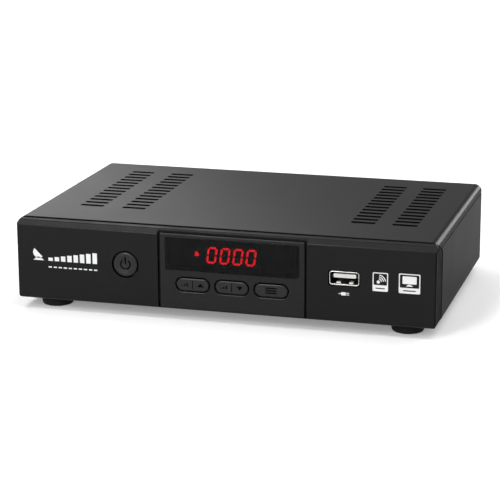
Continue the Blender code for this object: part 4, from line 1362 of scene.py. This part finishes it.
def framed_sign(name, box, frame_foot, bar_inset, bar_foot, filling):
    """A printed frame over a barred foot, with what it frames."""
    left, right, foot, top = box
    line = 0.45 * mm
    corner = 0.5 * mm
    inner_corner = 0.3 * mm
    sign = printed(name, [box_outline(left, right, foot, top, corner, corner, 4)])
    inner = box_outline(
        left + line, right - line, foot + frame_foot, top - line, inner_corner, inner_corner, 4
    )
    bar_top = bar_foot + 0.5 * mm
    bar = rectangle(left + bar_inset, right - bar_inset, foot + bar_foot, foot + bar_top)
    cut(sign, [inner, bar], -margin, margin)
    combined(sign, "UNION", printed("filling", filling))
    fitted(sign)


def make_dish_sign():
    """A framed sign: a dot that sends out three waves."""
    left, right, foot, top = 71.0 * mm, 78.0 * mm, 15.9 * mm, 24.6 * mm
    middle = (left + 2.6 * mm, foot + 4.3 * mm)
    half_line = 0.2 * mm
    dot = 0.75 * mm
    filling = [circle(*middle, dot, 20)]
    for radius in (1.5 * mm, 2.4 * mm, 3.3 * mm):
        outer = arc(*middle, radius + half_line, 8, 82, 12)
        filling.append(outer + arc(*middle, radius - half_line, 82, 8, 12))
    box = (left, right, foot, top)
    framed_sign(
        "printed_dish_sign", box, frame_foot=2.9 * mm, bar_inset=1.4 * mm, bar_foot=1.1 * mm,
        filling=filling,
    )


def make_screen_sign():
    """A framed sign: a screen on its foot."""
    left, right, foot, top = 82.9 * mm, 92.6 * mm, 15.8 * mm, 24.9 * mm
    middle = (left + right) / 2
    reach = 3.2 * mm
    corner = 0.3 * mm
    screen = box_outline(
        middle - reach, middle + reach, foot + 4.4 * mm, top - 1.2 * mm, corner, corner, 4
    )
    stand_foot = foot + 3.3 * mm
    stand_top = foot + 4.1 * mm
    stand = [
        (middle - 1.6 * mm, stand_foot),
        (middle + 1.6 * mm, stand_foot),
        (middle + 0.6 * mm, stand_top),
        (middle - 0.6 * mm, stand_top),
    ]
    box = (left, right, foot, top)
    framed_sign(
        "printed_screen_sign", box, frame_foot=2.6 * mm, bar_inset=2 * mm, bar_foot=1.0 * mm,
        filling=[screen, stand],
    )


# Case

def vent_tree():
    """Rounded slots in columns, cut through the cover."""
    tree = GeometryTree(
        "Vent slots", rows="Int", pitch="Float", first_row="Vector", slot_length="Float",
        slot_width="Float", slot_corner="Float", depth="Float",
        column_1="Float", column_2="Float", column_3="Float", column_4="Float", wall="Material",
    )
    entry = tree.entry
    values = {"Width": entry["Slot length"], "Height": entry["Slot width"]}
    outline = tree.add("GeometryNodeCurvePrimitiveQuadrilateral", values).outputs[0]
    values = {"Curve": outline, "Radius": entry["Slot corner"], "Count": 4, "Limit Radius": True}
    outline = tree.add("GeometryNodeFilletCurve", values, mode="POLY").outputs[0]
    half = tree.sum("MULTIPLY", entry["Depth"], 0.5)
    values = {"Start": tree.vector(z=tree.sum("MULTIPLY", half, -1.0)), "End": tree.vector(z=half)}
    path = tree.add("GeometryNodeCurvePrimitiveLine", values).outputs[0]
    values = {"Curve": path, "Profile Curve": outline, "Fill Caps": True}
    slot = tree.add("GeometryNodeCurveToMesh", values).outputs[0]
    points = tree.line(entry["Rows"], entry["First row"], tree.vector(y=entry["Pitch"]))
    columns = [
        tree.moved(points, Translation=tree.vector(entry[f"Column {number}"])) for number in (1, 2, 3, 4)
    ]
    values = {"Geometry": slot, "Material": entry["Wall"]}
    slot = tree.add("GeometryNodeSetMaterial", values).outputs[0]
    slots = tree.real(tree.copies(tree.joined(*columns), slot))
    slotted = tree.add("GeometryNodeMeshBoolean", operation="DIFFERENCE", solver="EXACT")
    tree.link(entry["Geometry"], slotted.inputs["Mesh 1"])
    tree.link(slots, slotted.inputs["Mesh 2"])
    walls = tree.add("GeometryNodeMaterialSelection", {"Material": entry["Wall"]}).outputs[0]
    skin = tree.sum("SUBTRACT", 1.0, walls)
    return tree.end(slotted.outputs[0], skin)


def front_room():
    """What is cut from the metal to make room for the front."""
    line = front_edge_line(settings("case").seam)
    line += [(-margin, case.top + margin), (-margin, -margin)]
    wide = case.right + margin
    # Its walls pass their darker finish to the metal's cut edges at the seam: painted shade.
    return solid("front_room", [line], -wide, wide, on_side, finish("painted_shade_cut"))


def make_cover():
    """The folded cover: long bends, short side lips, a rear flange, screw holes and vent slots."""
    sizes = settings("case")
    vents = settings("vents")
    paint = finish("black_paint")
    radius = sizes.cover_corner
    middle = case.right - radius
    up = case.top - radius
    outer = [(case.right, sizes.lip_foot)] + arc(middle, up, radius, 0, 90, 12)
    outer += arc(-middle, up, radius, 90, 180, 12) + [(case.left, sizes.lip_foot)]
    inner = [(case.left + sizes.sheet, sizes.lip_foot)]
    inner += arc(-middle, up, radius - sizes.sheet, 180, 90, 12)
    inner += arc(middle, up, radius - sizes.sheet, 90, 0, 12)
    inner += [(case.right - sizes.sheet, sizes.lip_foot)]
    cover = solid("cover_shell", [outer + inner], 0, case.back, on_front, paint)
    combined(cover, "DIFFERENCE", front_room())
    flange = rectangle(
        case.left + sizes.flange_inset, case.right - sizes.flange_inset,
        case.top - sizes.flange_height, case.top - sizes.sheet / 2,
    )
    flange_front = case.back - sizes.sheet
    extended(cover, [flange], flange_front, case.back, on_front, paint)
    holes = [circle(span.across, span.up, sizes.hole_radius, 32) for span in cover_screw_spans]
    cut(cover, holes, flange_front - sizes.sheet / 2, case.back + margin)

    def at_front_bend(across, back, up):
        flat_part = 38.9 * mm
        front_part = 30 * mm
        return back < front_part and up > flat_part

    rounded(cover, sizes.front_bend, 3, at_front_bend)
    # The slots' walls take the darker cut-wall finish: painted shade inside the slots.
    slotted = grown(
        "metal_cover", vent_tree(), cover, rows=vents.rows, pitch=vents.pitch,
        first_row=at(0, vents.first_row, case.top - sizes.sheet / 2),
        slot_length=vents.slot_length, slot_width=vents.slot_width, slot_corner=vents.slot_corner,
        depth=sizes.sheet + 2 * margin, column_1=vents.columns[0], column_2=vents.columns[1],
        column_3=vents.columns[2], column_4=vents.columns[3], wall=finish("painted_shade_cut"),
        material=paint,
    )
    rounded(slotted, sizes.edge / 2, 1)
    fitted(slotted, stands_for=["top_cover"])


def make_tray():
    """The folded tray: floor, side walls and the main board's standoffs."""
    sizes = settings("case")
    paint = finish("tray_paint")
    radius = sizes.floor_corner
    middle = case.right - radius
    thin = radius - sizes.sheet
    outer = [(case.left, sizes.wall_top)] + arc(-middle, radius, radius, 180, 270, 8)
    outer += arc(middle, radius, radius, 270, 360, 8) + [(case.right, sizes.wall_top)]
    inner = [(case.right - sizes.sheet, sizes.wall_top)] + arc(middle, radius, thin, 360, 270, 8)
    inner += arc(-middle, radius, thin, 270, 180, 8) + [(case.left + sizes.sheet, sizes.wall_top)]
    tray = solid("metal_tray", [outer + inner], 0, case.back, on_front, paint)
    combined(tray, "DIFFERENCE", front_room())
    post_radius = 3.2 * mm
    post_top = 5.8 * mm
    hole_foot = 1.3 * mm
    hole_top = 8 * mm
    for number in range(1, 5):
        screw = Span(f"main_board_screw_{number}")
        back = (screw.front + screw.back) / 2
        post = circle(screw.across, back, post_radius, 32)
        extended(tray, [post], sizes.sheet / 2, post_top, on_top, paint)
        cut(tray, [circle(screw.across, back, sizes.hole_radius, 24)], hole_foot, hole_top, on_top)
    rounded(tray, sizes.edge, 2)
    fitted(tray, stands_for=["bottom_chassis"])


def make_rear_panel():
    """The upright rear panel with the sockets' openings and its foot."""
    sizes = settings("case")
    paint = finish("black_paint")
    front = panel_span.back - sizes.sheet
    lower_corner = 0.7 * mm
    upper_corner = 2.8 * mm
    outline = box_outline(
        panel_span.left, panel_span.right, panel_span.foot + sizes.sheet / 2, panel_span.top,
        lower_corner, upper_corner,
    )
    panel = solid("rear_plate", [outline], front, panel_span.back, on_front, paint)
    gap = 0.5 * mm
    holes = [circle(span.across, span.up, barrel_radius + gap, 48) for span in barrel_spans.values()]
    holes += [circle(span.across, span.up, span.width / 2 + gap, 48) for span in jack_spans.values()]
    holes += [outline_of(hdmi_span, gap, 1.2 * mm, 4), outline_of(inlet_span, gap, 0.5 * mm, 4)]
    holes += [circle(span.across, span.up, sizes.hole_radius, 32) for span in cover_screw_spans]
    cut(panel, holes, front - margin, panel_span.back + margin)
    foot = rectangle(
        panel_span.left + sizes.flange_inset, panel_span.right - sizes.flange_inset,
        panel_span.foot, panel_span.foot + sizes.sheet,
    )
    extended(panel, [foot], panel_span.front, front + sizes.sheet / 2, on_front, paint)
    rounded(panel, sizes.edge, 2)
    fitted(panel, stands_for=["rear_panel"])


# Rear sockets, screws and feet

def thread_tree():
    """A screw thread pressed into the outside of a turned piece."""
    tree = GeometryTree(
        "Screw thread", axis="Vector", radius="Float", pitch="Float", depth="Float",
        start="Float", end="Float",
    )
    entry = tree.entry
    here = tree.add("GeometryNodeInputPosition").outputs[0]
    values = {0: here, 1: entry["Axis"]}
    local = tree.add("ShaderNodeVectorMath", values, operation="SUBTRACT").outputs[0]
    x, y, z = tree.add("ShaderNodeSeparateXYZ", {0: local}).outputs
    turn = tree.sum("DIVIDE", tree.sum("ARCTAN2", z, x), math.tau)
    along = tree.sum("DIVIDE", y, entry["Pitch"])
    wave = tree.sum("FRACT", tree.sum("SUBTRACT", along, turn))
    ridge = tree.sum("ABSOLUTE", tree.sum("SUBTRACT", tree.sum("MULTIPLY", wave, 2.0), 1.0))
    squares = tree.sum("ADD", tree.sum("POWER", x, 2.0), tree.sum("POWER", z, 2.0))
    reach = tree.sum("SQRT", squares)
    outside = tree.sum("GREATER_THAN", reach, tree.sum("MULTIPLY", entry["Radius"], 0.98))
    past_start = tree.sum("GREATER_THAN", y, entry["Start"])
    before_end = tree.sum("LESS_THAN", y, entry["End"])
    threaded = tree.sum("MULTIPLY", outside, tree.sum("MULTIPLY", past_start, before_end))
    pressed = tree.sum("MULTIPLY", tree.sum("MULTIPLY", ridge, entry["Depth"]), threaded)
    share = tree.sum("DIVIDE", pressed, tree.sum("MAXIMUM", reach, 0.0001))
    values = {0: tree.vector(x, 0.0, z), "Scale": tree.sum("MULTIPLY", share, -1.0)}
    offset = tree.add("ShaderNodeVectorMath", values, operation="SCALE").outputs[0]
    return tree.end(tree.shifted(entry["Geometry"], offset))


def make_connectors():
    """The two threaded connectors with their nuts, insulators and contact holes."""
    group = thread_tree()
    for name, span in barrel_spans.items():
        make_barrel(name, span, group)
        make_nut(name, span)
        make_insulator(name, span)


def make_barrel(name, span, group):
    """A turned barrel with the thread pressed into it."""
    sockets = settings("sockets")
    metal = finish("bright_metal")
    reach = span.back - case.back
    rings_a_turn = 7
    rings = int(reach / sockets.thread_pitch * rings_a_turn)
    wall = [(barrel_radius, reach * (1 - i / rings)) for i in range(1, rings + 1)]
    floor = reach - 7 * mm
    bevel = 0.3 * mm
    profile = [
        (0, floor),
        (barrel_bore, floor),
        (barrel_bore, reach - bevel),
        (barrel_bore + bevel, reach),
        (barrel_radius - bevel, reach),
        (barrel_radius, reach - bevel / 2),
    ]
    flange = 6 * mm
    flange_up = -2.2 * mm
    root = span.front - case.back
    profile += wall + [(barrel_radius, flange_up), (flange, flange_up), (flange, root), (0, root)]
    lay = facing_back(span.across, case.back, span.up)
    blank = lathed(name + "_blank", profile, lay, 48, metal)
    thread_start = 1.2 * mm
    thread_end = reach - 0.5 * mm
    barrel = grown(
        name + "_threaded", group, blank, axis=at(span.across, case.back, span.up),
        radius=barrel_radius, pitch=sockets.thread_pitch, depth=sockets.thread_depth,
        start=thread_start, end=thread_end, material=metal,
    )
    fitted(barrel, stands_for=[name + "_barrel"])


def make_nut(name, span):
    """The hexagonal nut of a connector, with its outer corners taken off."""
    sockets = settings("sockets")
    metal = finish("bright_metal")
    tall = sockets.nut_height
    corner = sockets.nut_flats / math.sqrt(3)
    hexagon = arc(span.across, span.up, corner, 30, 390, 6)[:-1]
    nut = solid(name + "_nut", [hexagon], panel_span.back, panel_span.back + tall, on_front, metal)
    cone_foot = tall - 1.1 * mm
    cone_top = corner - 0.65 * mm
    cone = [
        (0, -margin),
        (corner + margin, -margin),
        (corner + margin, cone_foot),
        (cone_top, tall),
        (0, tall),
    ]
    lay = facing_back(span.across, panel_span.back, span.up)
    combined(nut, "INTERSECT", lathed("cone", cone, lay, 64))
    bore = barrel_radius - 0.1 * mm
    cut(nut, [circle(span.across, span.up, bore, 48)], 0, case.back * 2)
    fitted(nut)


def make_insulator(name, span):
    """The white core of a connector, with the hole of its contact."""
    bevel = 0.3 * mm
    radius = barrel_bore - bevel
    face = -0.6 * mm
    hole = 0.5 * mm
    hole_floor = -4.6 * mm
    root = -6.7 * mm
    profile = [
        (0, hole_floor),
        (hole, hole_floor),
        (hole, face - bevel),
        (hole + bevel, face),
        (radius - bevel, face),
        (radius, face - bevel),
        (radius, root),
        (0, root),
    ]
    lay = facing_back(span.across, span.back, span.up)
    core = lathed(name + "_core", profile, lay, 40, finish("white_plastic"))
    fitted(core, stands_for=[name + "_insulator"])


def picture_outline(inset):
    """The digital picture socket's outline: its lower corners run in aslant."""
    span = hdmi_span
    slope = 1.6 * mm
    corner = 0.4 * mm
    run_in = inset * 0.6
    shoulder = span.foot + slope * 1.3
    return filleted([
        (span.left + slope + run_in, span.foot + inset, corner),
        (span.right - slope - run_in, span.foot + inset, corner),
        (span.right - inset, shoulder, corner),
        (span.right - inset, span.top - inset, corner),
        (span.left + inset, span.top - inset, corner),
        (span.left + inset, shoulder, corner),
    ])


def make_rear_sockets():
    """The digital picture socket, the three round sockets and the power inlet."""
    span = hdmi_span
    wall = settings("sockets").shell_wall
    outline = picture_outline(0)
    metal = finish("bright_metal")
    shell = solid("picture_socket_shell", [outline], span.front, span.back, on_front, metal)
    cut(shell, [picture_outline(wall)], span.front + wall, span.back + margin)
    rounded(shell, 0.1 * mm, 2)
    fitted(shell, stands_for=["hdmi_shell"])
    make_picture_tongue()
    make_jack("video", "yellow_plastic")
    make_jack("left_audio", "white_plastic")
    make_jack("right_audio", "red_plastic")
    make_inlet()


def make_picture_tongue():
    """The picture socket's black tongue and its two rows of contacts."""
    span = hdmi_tongue_span
    black = finish("black_plastic")
    root_back = span.front + 3 * mm
    tongue = solid(
        "picture_socket_tongue", [rectangle_of(span)], span.front, root_back, on_front, black
    )
    blade_inset = 0.5 * mm
    blade_half = 0.75 * mm
    contact_half = 0.83 * mm
    blade = rectangle(
        span.left + blade_inset, span.right - blade_inset, span.up - blade_half, span.up + blade_half
    )
    extended(tongue, [blade], span.front + margin, span.back, on_front, black)
    rounded(tongue, 0.15 * mm, 2)
    fitted(tongue, stands_for=["hdmi_tongue"])
    first = span.left + 1 * mm
    contact_width = 0.4 * mm
    contact = rectangle(first, first + contact_width, span.up - contact_half, span.up - blade_half)
    strip = solid("strip", [contact], root_back, span.back - 0.6 * mm, on_front)
    step = (span.width - 2.4 * mm) / 9
    contacts = copied(
        "picture_socket_contacts", strip, finish("gold"), columns=10, column_step=(step, 0, 0),
        rows=2, row_step=(0, 0, blade_half + contact_half),
    )
    fitted(contacts)


def make_jack(name, slot):
    """A round socket: a coloured collar at the panel, a plated sleeve and a coloured core."""
    span = jack_spans[name]
    radius = span.width / 2
    reach = span.back - panel_span.back
    root = span.front - panel_span.back
    seat = 0.1 * mm
    collar = radius + 1.1 * mm
    collar_top = 1.2 * mm
    bevel = 0.3 * mm
    core = radius - 0.1 * mm
    core_top = reach - 1.5 * mm
    hole = 1.6 * mm
    hole_floor = reach - 6.5 * mm
    profile = [
        (0, root),
        (radius, root),
        (radius, seat),
        (collar, seat),
        (collar, collar_top - bevel),
        (collar - bevel, collar_top),
        (core, collar_top),
        (core, core_top),
        (hole, core_top),
        (hole, hole_floor),
        (0, hole_floor),
    ]
    lay = facing_back(span.across, panel_span.back, span.up)
    body = lathed(name + "_socket", profile, lay, 48, finish(slot))
    fitted(body, stands_for=[name + "_jack"])
    inside = radius - 0.7 * mm
    sleeve_foot = reach - 1.6 * mm
    sleeve = [
        (core, collar_top),
        (radius, 1.4 * mm),
        (radius, reach - 0.35 * mm),
        (radius - 0.3 * mm, reach),
        (radius - 0.5 * mm, reach),
        (inside, reach - 0.2 * mm),
        (inside, sleeve_foot),
        (radius - 0.3 * mm, sleeve_foot),
    ]
    ring = lathed_ring(name + "_sleeve", sleeve, lay, 48, finish("bright_metal"))
    fitted(ring)


def make_inlet():
    """The low-voltage inlet: a square housing with a round mouth and a centre pin."""
    span = inlet_span
    outline = outline_of(span, 0, 0.6 * mm, 4)
    plastic = finish("black_plastic")
    inlet = solid("power_inlet_body", [outline], span.front, span.back, on_front, plastic)
    radius = 3.2 * mm
    bevel = 0.5 * mm
    floor = -9 * mm
    mouth = [
        (0, floor),
        (radius, floor),
        (radius, -bevel),
        (radius + bevel, 0),
        (radius + bevel, margin),
        (0, margin),
    ]
    lay = facing_back(span.across, span.back, span.up)
    combined(inlet, "DIFFERENCE", lathed("mouth", mouth, lay, 48))
    rounded(inlet, 0.2 * mm, 2)
    fitted(inlet, stands_for=["power_inlet"])
    pin_radius = 1 * mm
    pin_root = -8 * mm
    pin = [(0, 0)]
    for angle in (30, 60, 90):
        turn = math.radians(angle)
        pin.append((pin_radius * math.sin(turn), pin_radius * (math.cos(turn) - 1)))
    pin += [(pin_radius, pin_root), (0, pin_root)]
    lay = facing_back(span.across, span.back - 1 * mm, span.up)
    fitted(lathed("power_inlet_pin", pin, lay, 24, finish("bright_metal")))


def make_screws():
    """The two screws in the cover's rear flange, with crosses in their heads."""
    sockets = settings("sockets")
    metal = finish("bright_metal")
    span = cover_screw_spans[0]
    radius = span.width / 2
    seat = case.back + 0.3 * mm
    head = span.back - seat
    edge = sockets.head_round
    shank = 1.4 * mm
    tip = -6 * mm
    profile = [(0, head)]
    profile += [(radius - edge + r, head - edge + h) for r, h in arc(0, 0, edge, 90, 0, 5)]
    profile += [(radius, 0), (shank, 0), (shank, tip), (0, tip)]
    screw = lathed("screw", profile, facing_back(span.across, seat, span.up), 32, metal)
    long = 1.55 * mm
    thin = sockets.cross_width / 2
    start = span.back - sockets.cross_depth
    for width, height in ((long, thin), (thin, long)):
        cut(screw, [centred(span.across, span.up, width, height)], start, span.back + margin)
    apart = cover_screw_spans[1].across - span.across
    screws = copied("cover_screws", screw, metal, columns=2, column_step=(apart, 0, 0))
    fitted(screws, stands_for=["cover_screw_left", "cover_screw_right"])


def make_feet():
    """The four round feet, a little narrower towards the floor."""
    span = foot_span
    radius = span.width / 2
    recess_top = 1.2 * mm
    profile = filleted([
        (0, span.tall, 0),
        (radius, span.tall, 0.2 * mm),
        (radius - 0.1 * mm, 2.6 * mm, 0.4 * mm),
        (radius - 0.6 * mm, 0, 1.0 * mm),
        (3.4 * mm, 0, 0.3 * mm),
        (2.9 * mm, recess_top, 0.3 * mm),
        (0, recess_top, 0),
    ], 5, closed=False)
    rubber = finish("rubber")
    lay = facing_up(span.across, (span.front + span.back) / 2, span.foot)
    foot = lathed("foot", profile, lay, 56, rubber)
    feet = copied(
        "rubber_feet", foot, rubber, columns=2,
        column_step=(feet_span.width - span.width, 0, 0), rows=2,
        row_step=(0, feet_span.back - feet_span.front - span.width, 0),
    )
    nodes = [f"foot_{row}_{side}" for row in ("front", "back") for side in ("left", "right")]
    fitted(feet, stands_for=nodes)


# Stage

def make_stage():
    """The pale floor, the white surroundings, the lamps and the camera."""
    studio = settings("studio")
    make_floor()
    make_surroundings()
    add_lamp("above_lamp", (0.35, -0.1, 1.15), 0.8, 0.8, studio.above)
    add_lamp("front_band_lamp", (-0.52, -0.28, 1.1), 0.4, 0.5, studio.front_band)
    add_lamp("rear_band_lamp", (-0.55, 0.47, 1.25), 0.35, 0.3, studio.rear_band)
    add_lamp("front_lamp", (-0.3, -0.92, 0.56), 0.3, 0.8, studio.front)
    add_lamp("sheen_lamp", (-0.41, 0.951, 0.422), 0.8, 0.3, studio.sheen, math.radians(-35))
    add_lamp("rim_lamp", (0.49, 1.12, 0.31), 0.42, 0.42, studio.rim)
    add_camera()


def make_floor():
    """The pale paper floor, which looks a little brighter to the eye than it lights."""
    studio = settings("studio")
    paper = tuple(studio.paper)
    tree, shader, place = look(
        "floor_paper", Specular_IOR_Level=0.0, Roughness=0.9, Emission_Color=(1, 1, 1, 1)
    )
    tone = mixed(tree, noise(tree, place, 30 * mm), paper, times(paper, 1.01))
    tree.link(tone, shader.inputs["Base Color"])
    path = tree.add("ShaderNodeLightPath").outputs
    seen = tree.sum("MAXIMUM", path["Is Camera Ray"], path["Is Glossy Ray"])
    tree.link(tree.sum("MULTIPLY", seen, studio.lift), shader.inputs["Emission Strength"])
    half = 4.0
    thickness = 20 * mm
    sheet = rectangle(-half, half, -half, half)
    material = bpy.data.materials["floor_paper"]
    floor = solid("floor", [sheet], -base_z - thickness, -base_z, on_top, material)


def make_surroundings():
    """White to the eye and in reflections, and dim as a light."""
    world = bpy.data.worlds.new("studio")
    bpy.context.scene.world = world
    world.use_nodes = True
    tree = Tree(world.node_tree)
    background = world.node_tree.nodes["Background"]
    background.inputs["Color"].default_value = (1, 1, 1, 1)
    path = tree.add("ShaderNodeLightPath").outputs
    seen = tree.sum("MAXIMUM", path["Is Camera Ray"], path["Is Glossy Ray"])
    seen = tree.sum("MAXIMUM", seen, path["Is Transmission Ray"])
    values = {"Value": seen, "To Min": settings("studio").sky, "To Max": 1.0}
    tree.link(tree.add("ShaderNodeMapRange", values).outputs[0], background.inputs["Strength"])


def add_lamp(name, place, width, height, radiance, roll=0.0):
    """A soft lamp of one radiance that points at the case."""
    lamp = bpy.data.lights.new(name, "AREA")
    lamp.shape = "RECTANGLE"
    lamp.size = width
    lamp.size_y = height
    lamp.energy = radiance * math.pi * width * height
    target = (0, 0, 0.02)
    made = bpy.data.objects.new(name, lamp)
    bpy.context.scene.collection.objects.link(made)
    made.visible_camera = False
    made.location = place
    made.rotation_mode = "QUATERNION"
    made.rotation_quaternion = (Vector(target) - Vector(place)).to_track_quat("-Z", "Y")
    made.rotation_quaternion @= Quaternion((0, 0, 1), roll)


def add_camera():
    """The camera, at the angle and distance of the photograph."""
    yaw = math.radians(15.91)
    pitch = math.radians(14.96)
    roll = math.radians(-0.229)
    target = at(2.9 * mm, 39.2 * mm, 20 * mm)
    distance = 884 * mm
    focal_pixels = 1855.7
    ahead = Vector((-math.sin(yaw) * math.cos(pitch), math.cos(yaw) * math.cos(pitch), -math.sin(pitch)))
    right = Vector((math.cos(yaw), math.sin(yaw), 0))
    above = right.cross(ahead)
    across = right * math.cos(roll) + above * math.sin(roll)
    up = above * math.cos(roll) - right * math.sin(roll)
    data = bpy.data.cameras.new("camera")
    data.sensor_width = 36
    data.lens = focal_pixels / photo_pixels * data.sensor_width
    data.clip_start = 0.05
    camera = bpy.data.objects.new("camera", data)
    bpy.context.scene.collection.objects.link(camera)
    turn = Matrix((across, up, -ahead)).transposed()
    camera.matrix_world = Matrix.Translation(target - ahead * distance) @ turn.to_4x4()
    bpy.context.scene.camera = camera
    bpy.context.scene.view_settings.view_transform = "Standard"


# Operators and panel

class RECEIVER_OT_finishes(bpy.types.Operator):
    """Makes the finishes and paints the CAD pieces"""

    bl_idname = "receiver.finishes"
    bl_label = "Finishes"
    bl_options = {"REGISTER", "UNDO"}

    def execute(self, context):
        make_finishes()
        return {"FINISHED"}


class RECEIVER_OT_bezel(bpy.types.Operator):
    """Makes the moulded front"""

    bl_idname = "receiver.bezel"
    bl_label = "Moulded front"
    bl_options = {"REGISTER", "UNDO"}

    def execute(self, context):
        make_bezel()
        return {"FINISHED"}


class RECEIVER_OT_fascia(bpy.types.Operator):
    """Makes the middle plate and its window"""

    bl_idname = "receiver.fascia"
    bl_label = "Middle plate and window"
    bl_options = {"REGISTER", "UNDO"}

    def execute(self, context):
        make_fascia()
        return {"FINISHED"}


class RECEIVER_OT_buttons(bpy.types.Operator):
    """Makes the power button and the keys"""

    bl_idname = "receiver.buttons"
    bl_label = "Buttons"
    bl_options = {"REGISTER", "UNDO"}

    def execute(self, context):
        make_buttons()
        return {"FINISHED"}


class RECEIVER_OT_display(bpy.types.Operator):
    """Makes the lit digits and the indicator"""

    bl_idname = "receiver.display"
    bl_label = "Display"
    bl_options = {"REGISTER", "UNDO"}

    def execute(self, context):
        make_display()
        return {"FINISHED"}


class RECEIVER_OT_front_socket(bpy.types.Operator):
    """Makes the socket in the front"""

    bl_idname = "receiver.front_socket"
    bl_label = "Front socket"
    bl_options = {"REGISTER", "UNDO"}

    def execute(self, context):
        make_front_socket()
        return {"FINISHED"}


class RECEIVER_OT_marks(bpy.types.Operator):
    """Makes the plain printed marks"""

    bl_idname = "receiver.marks"
    bl_label = "Printed marks"
    bl_options = {"REGISTER", "UNDO"}

    def execute(self, context):
        make_marks()
        return {"FINISHED"}


class RECEIVER_OT_cover(bpy.types.Operator):
    """Makes the slotted cover"""

    bl_idname = "receiver.cover"
    bl_label = "Cover"
    bl_options = {"REGISTER", "UNDO"}

    def execute(self, context):
        make_cover()
        return {"FINISHED"}


class RECEIVER_OT_tray(bpy.types.Operator):
    """Makes the folded tray"""

    bl_idname = "receiver.tray"
    bl_label = "Tray"
    bl_options = {"REGISTER", "UNDO"}

    def execute(self, context):
        make_tray()
        return {"FINISHED"}


class RECEIVER_OT_rear_panel(bpy.types.Operator):
    """Makes the rear panel"""

    bl_idname = "receiver.rear_panel"
    bl_label = "Rear panel"
    bl_options = {"REGISTER", "UNDO"}

    def execute(self, context):
        make_rear_panel()
        return {"FINISHED"}


class RECEIVER_OT_connectors(bpy.types.Operator):
    """Makes the threaded connectors"""

    bl_idname = "receiver.connectors"
    bl_label = "Threaded connectors"
    bl_options = {"REGISTER", "UNDO"}

    def execute(self, context):
        make_connectors()
        return {"FINISHED"}


class RECEIVER_OT_rear_sockets(bpy.types.Operator):
    """Makes the rear sockets and the inlet"""

    bl_idname = "receiver.rear_sockets"
    bl_label = "Rear sockets"
    bl_options = {"REGISTER", "UNDO"}

    def execute(self, context):
        make_rear_sockets()
        return {"FINISHED"}


class RECEIVER_OT_screws(bpy.types.Operator):
    """Makes the cover's screws"""

    bl_idname = "receiver.screws"
    bl_label = "Cover screws"
    bl_options = {"REGISTER", "UNDO"}

    def execute(self, context):
        make_screws()
        return {"FINISHED"}


class RECEIVER_OT_feet(bpy.types.Operator):
    """Makes the four feet"""

    bl_idname = "receiver.feet"
    bl_label = "Feet"
    bl_options = {"REGISTER", "UNDO"}

    def execute(self, context):
        make_feet()
        return {"FINISHED"}


class RECEIVER_OT_stage(bpy.types.Operator):
    """Makes the floor, lamps and camera"""

    bl_idname = "receiver.stage"
    bl_label = "Stage"
    bl_options = {"REGISTER", "UNDO"}

    def execute(self, context):
        make_stage()
        return {"FINISHED"}


operators = [
    RECEIVER_OT_finishes,
    RECEIVER_OT_bezel,
    RECEIVER_OT_fascia,
    RECEIVER_OT_buttons,
    RECEIVER_OT_display,
    RECEIVER_OT_front_socket,
    RECEIVER_OT_marks,
    RECEIVER_OT_cover,
    RECEIVER_OT_tray,
    RECEIVER_OT_rear_panel,
    RECEIVER_OT_connectors,
    RECEIVER_OT_rear_sockets,
    RECEIVER_OT_screws,
    RECEIVER_OT_feet,
    RECEIVER_OT_stage,
]


class RECEIVER_PT_panel(bpy.types.Panel):
    """Lists the pieces and their sizes in the sidebar."""

    bl_label = "Receiver"
    bl_idname = "RECEIVER_PT_panel"
    bl_space_type = "VIEW_3D"
    bl_region_type = "UI"
    bl_category = "Receiver"

    def draw(self, context):
        for kind in operators:
            self.layout.operator(kind.bl_idname)
        for group in settings_groups:
            box = self.layout.box()
            box.label(text=group.capitalize())
            sizes = settings(group)
            for name in sizes.__annotations__:
                box.prop(sizes, name)


def register():
    for group, kind in settings_groups.items():
        bpy.utils.register_class(kind)
        setattr(bpy.types.Scene, settings_prefix + group, PointerProperty(type=kind))
    for kind in operators + [RECEIVER_PT_panel]:
        bpy.utils.register_class(kind)


def unregister():
    for kind in [RECEIVER_PT_panel] + operators[::-1]:
        bpy.utils.unregister_class(kind)
    for group, kind in settings_groups.items():
        delattr(bpy.types.Scene, settings_prefix + group)
        bpy.utils.unregister_class(kind)


def main():
    register()
    for kind in operators:
        name = kind.bl_idname.split(".")[1]
        getattr(bpy.ops.receiver, name)()
    bpy.context.view_layer.update()


if __name__ == "__main__":
    main()
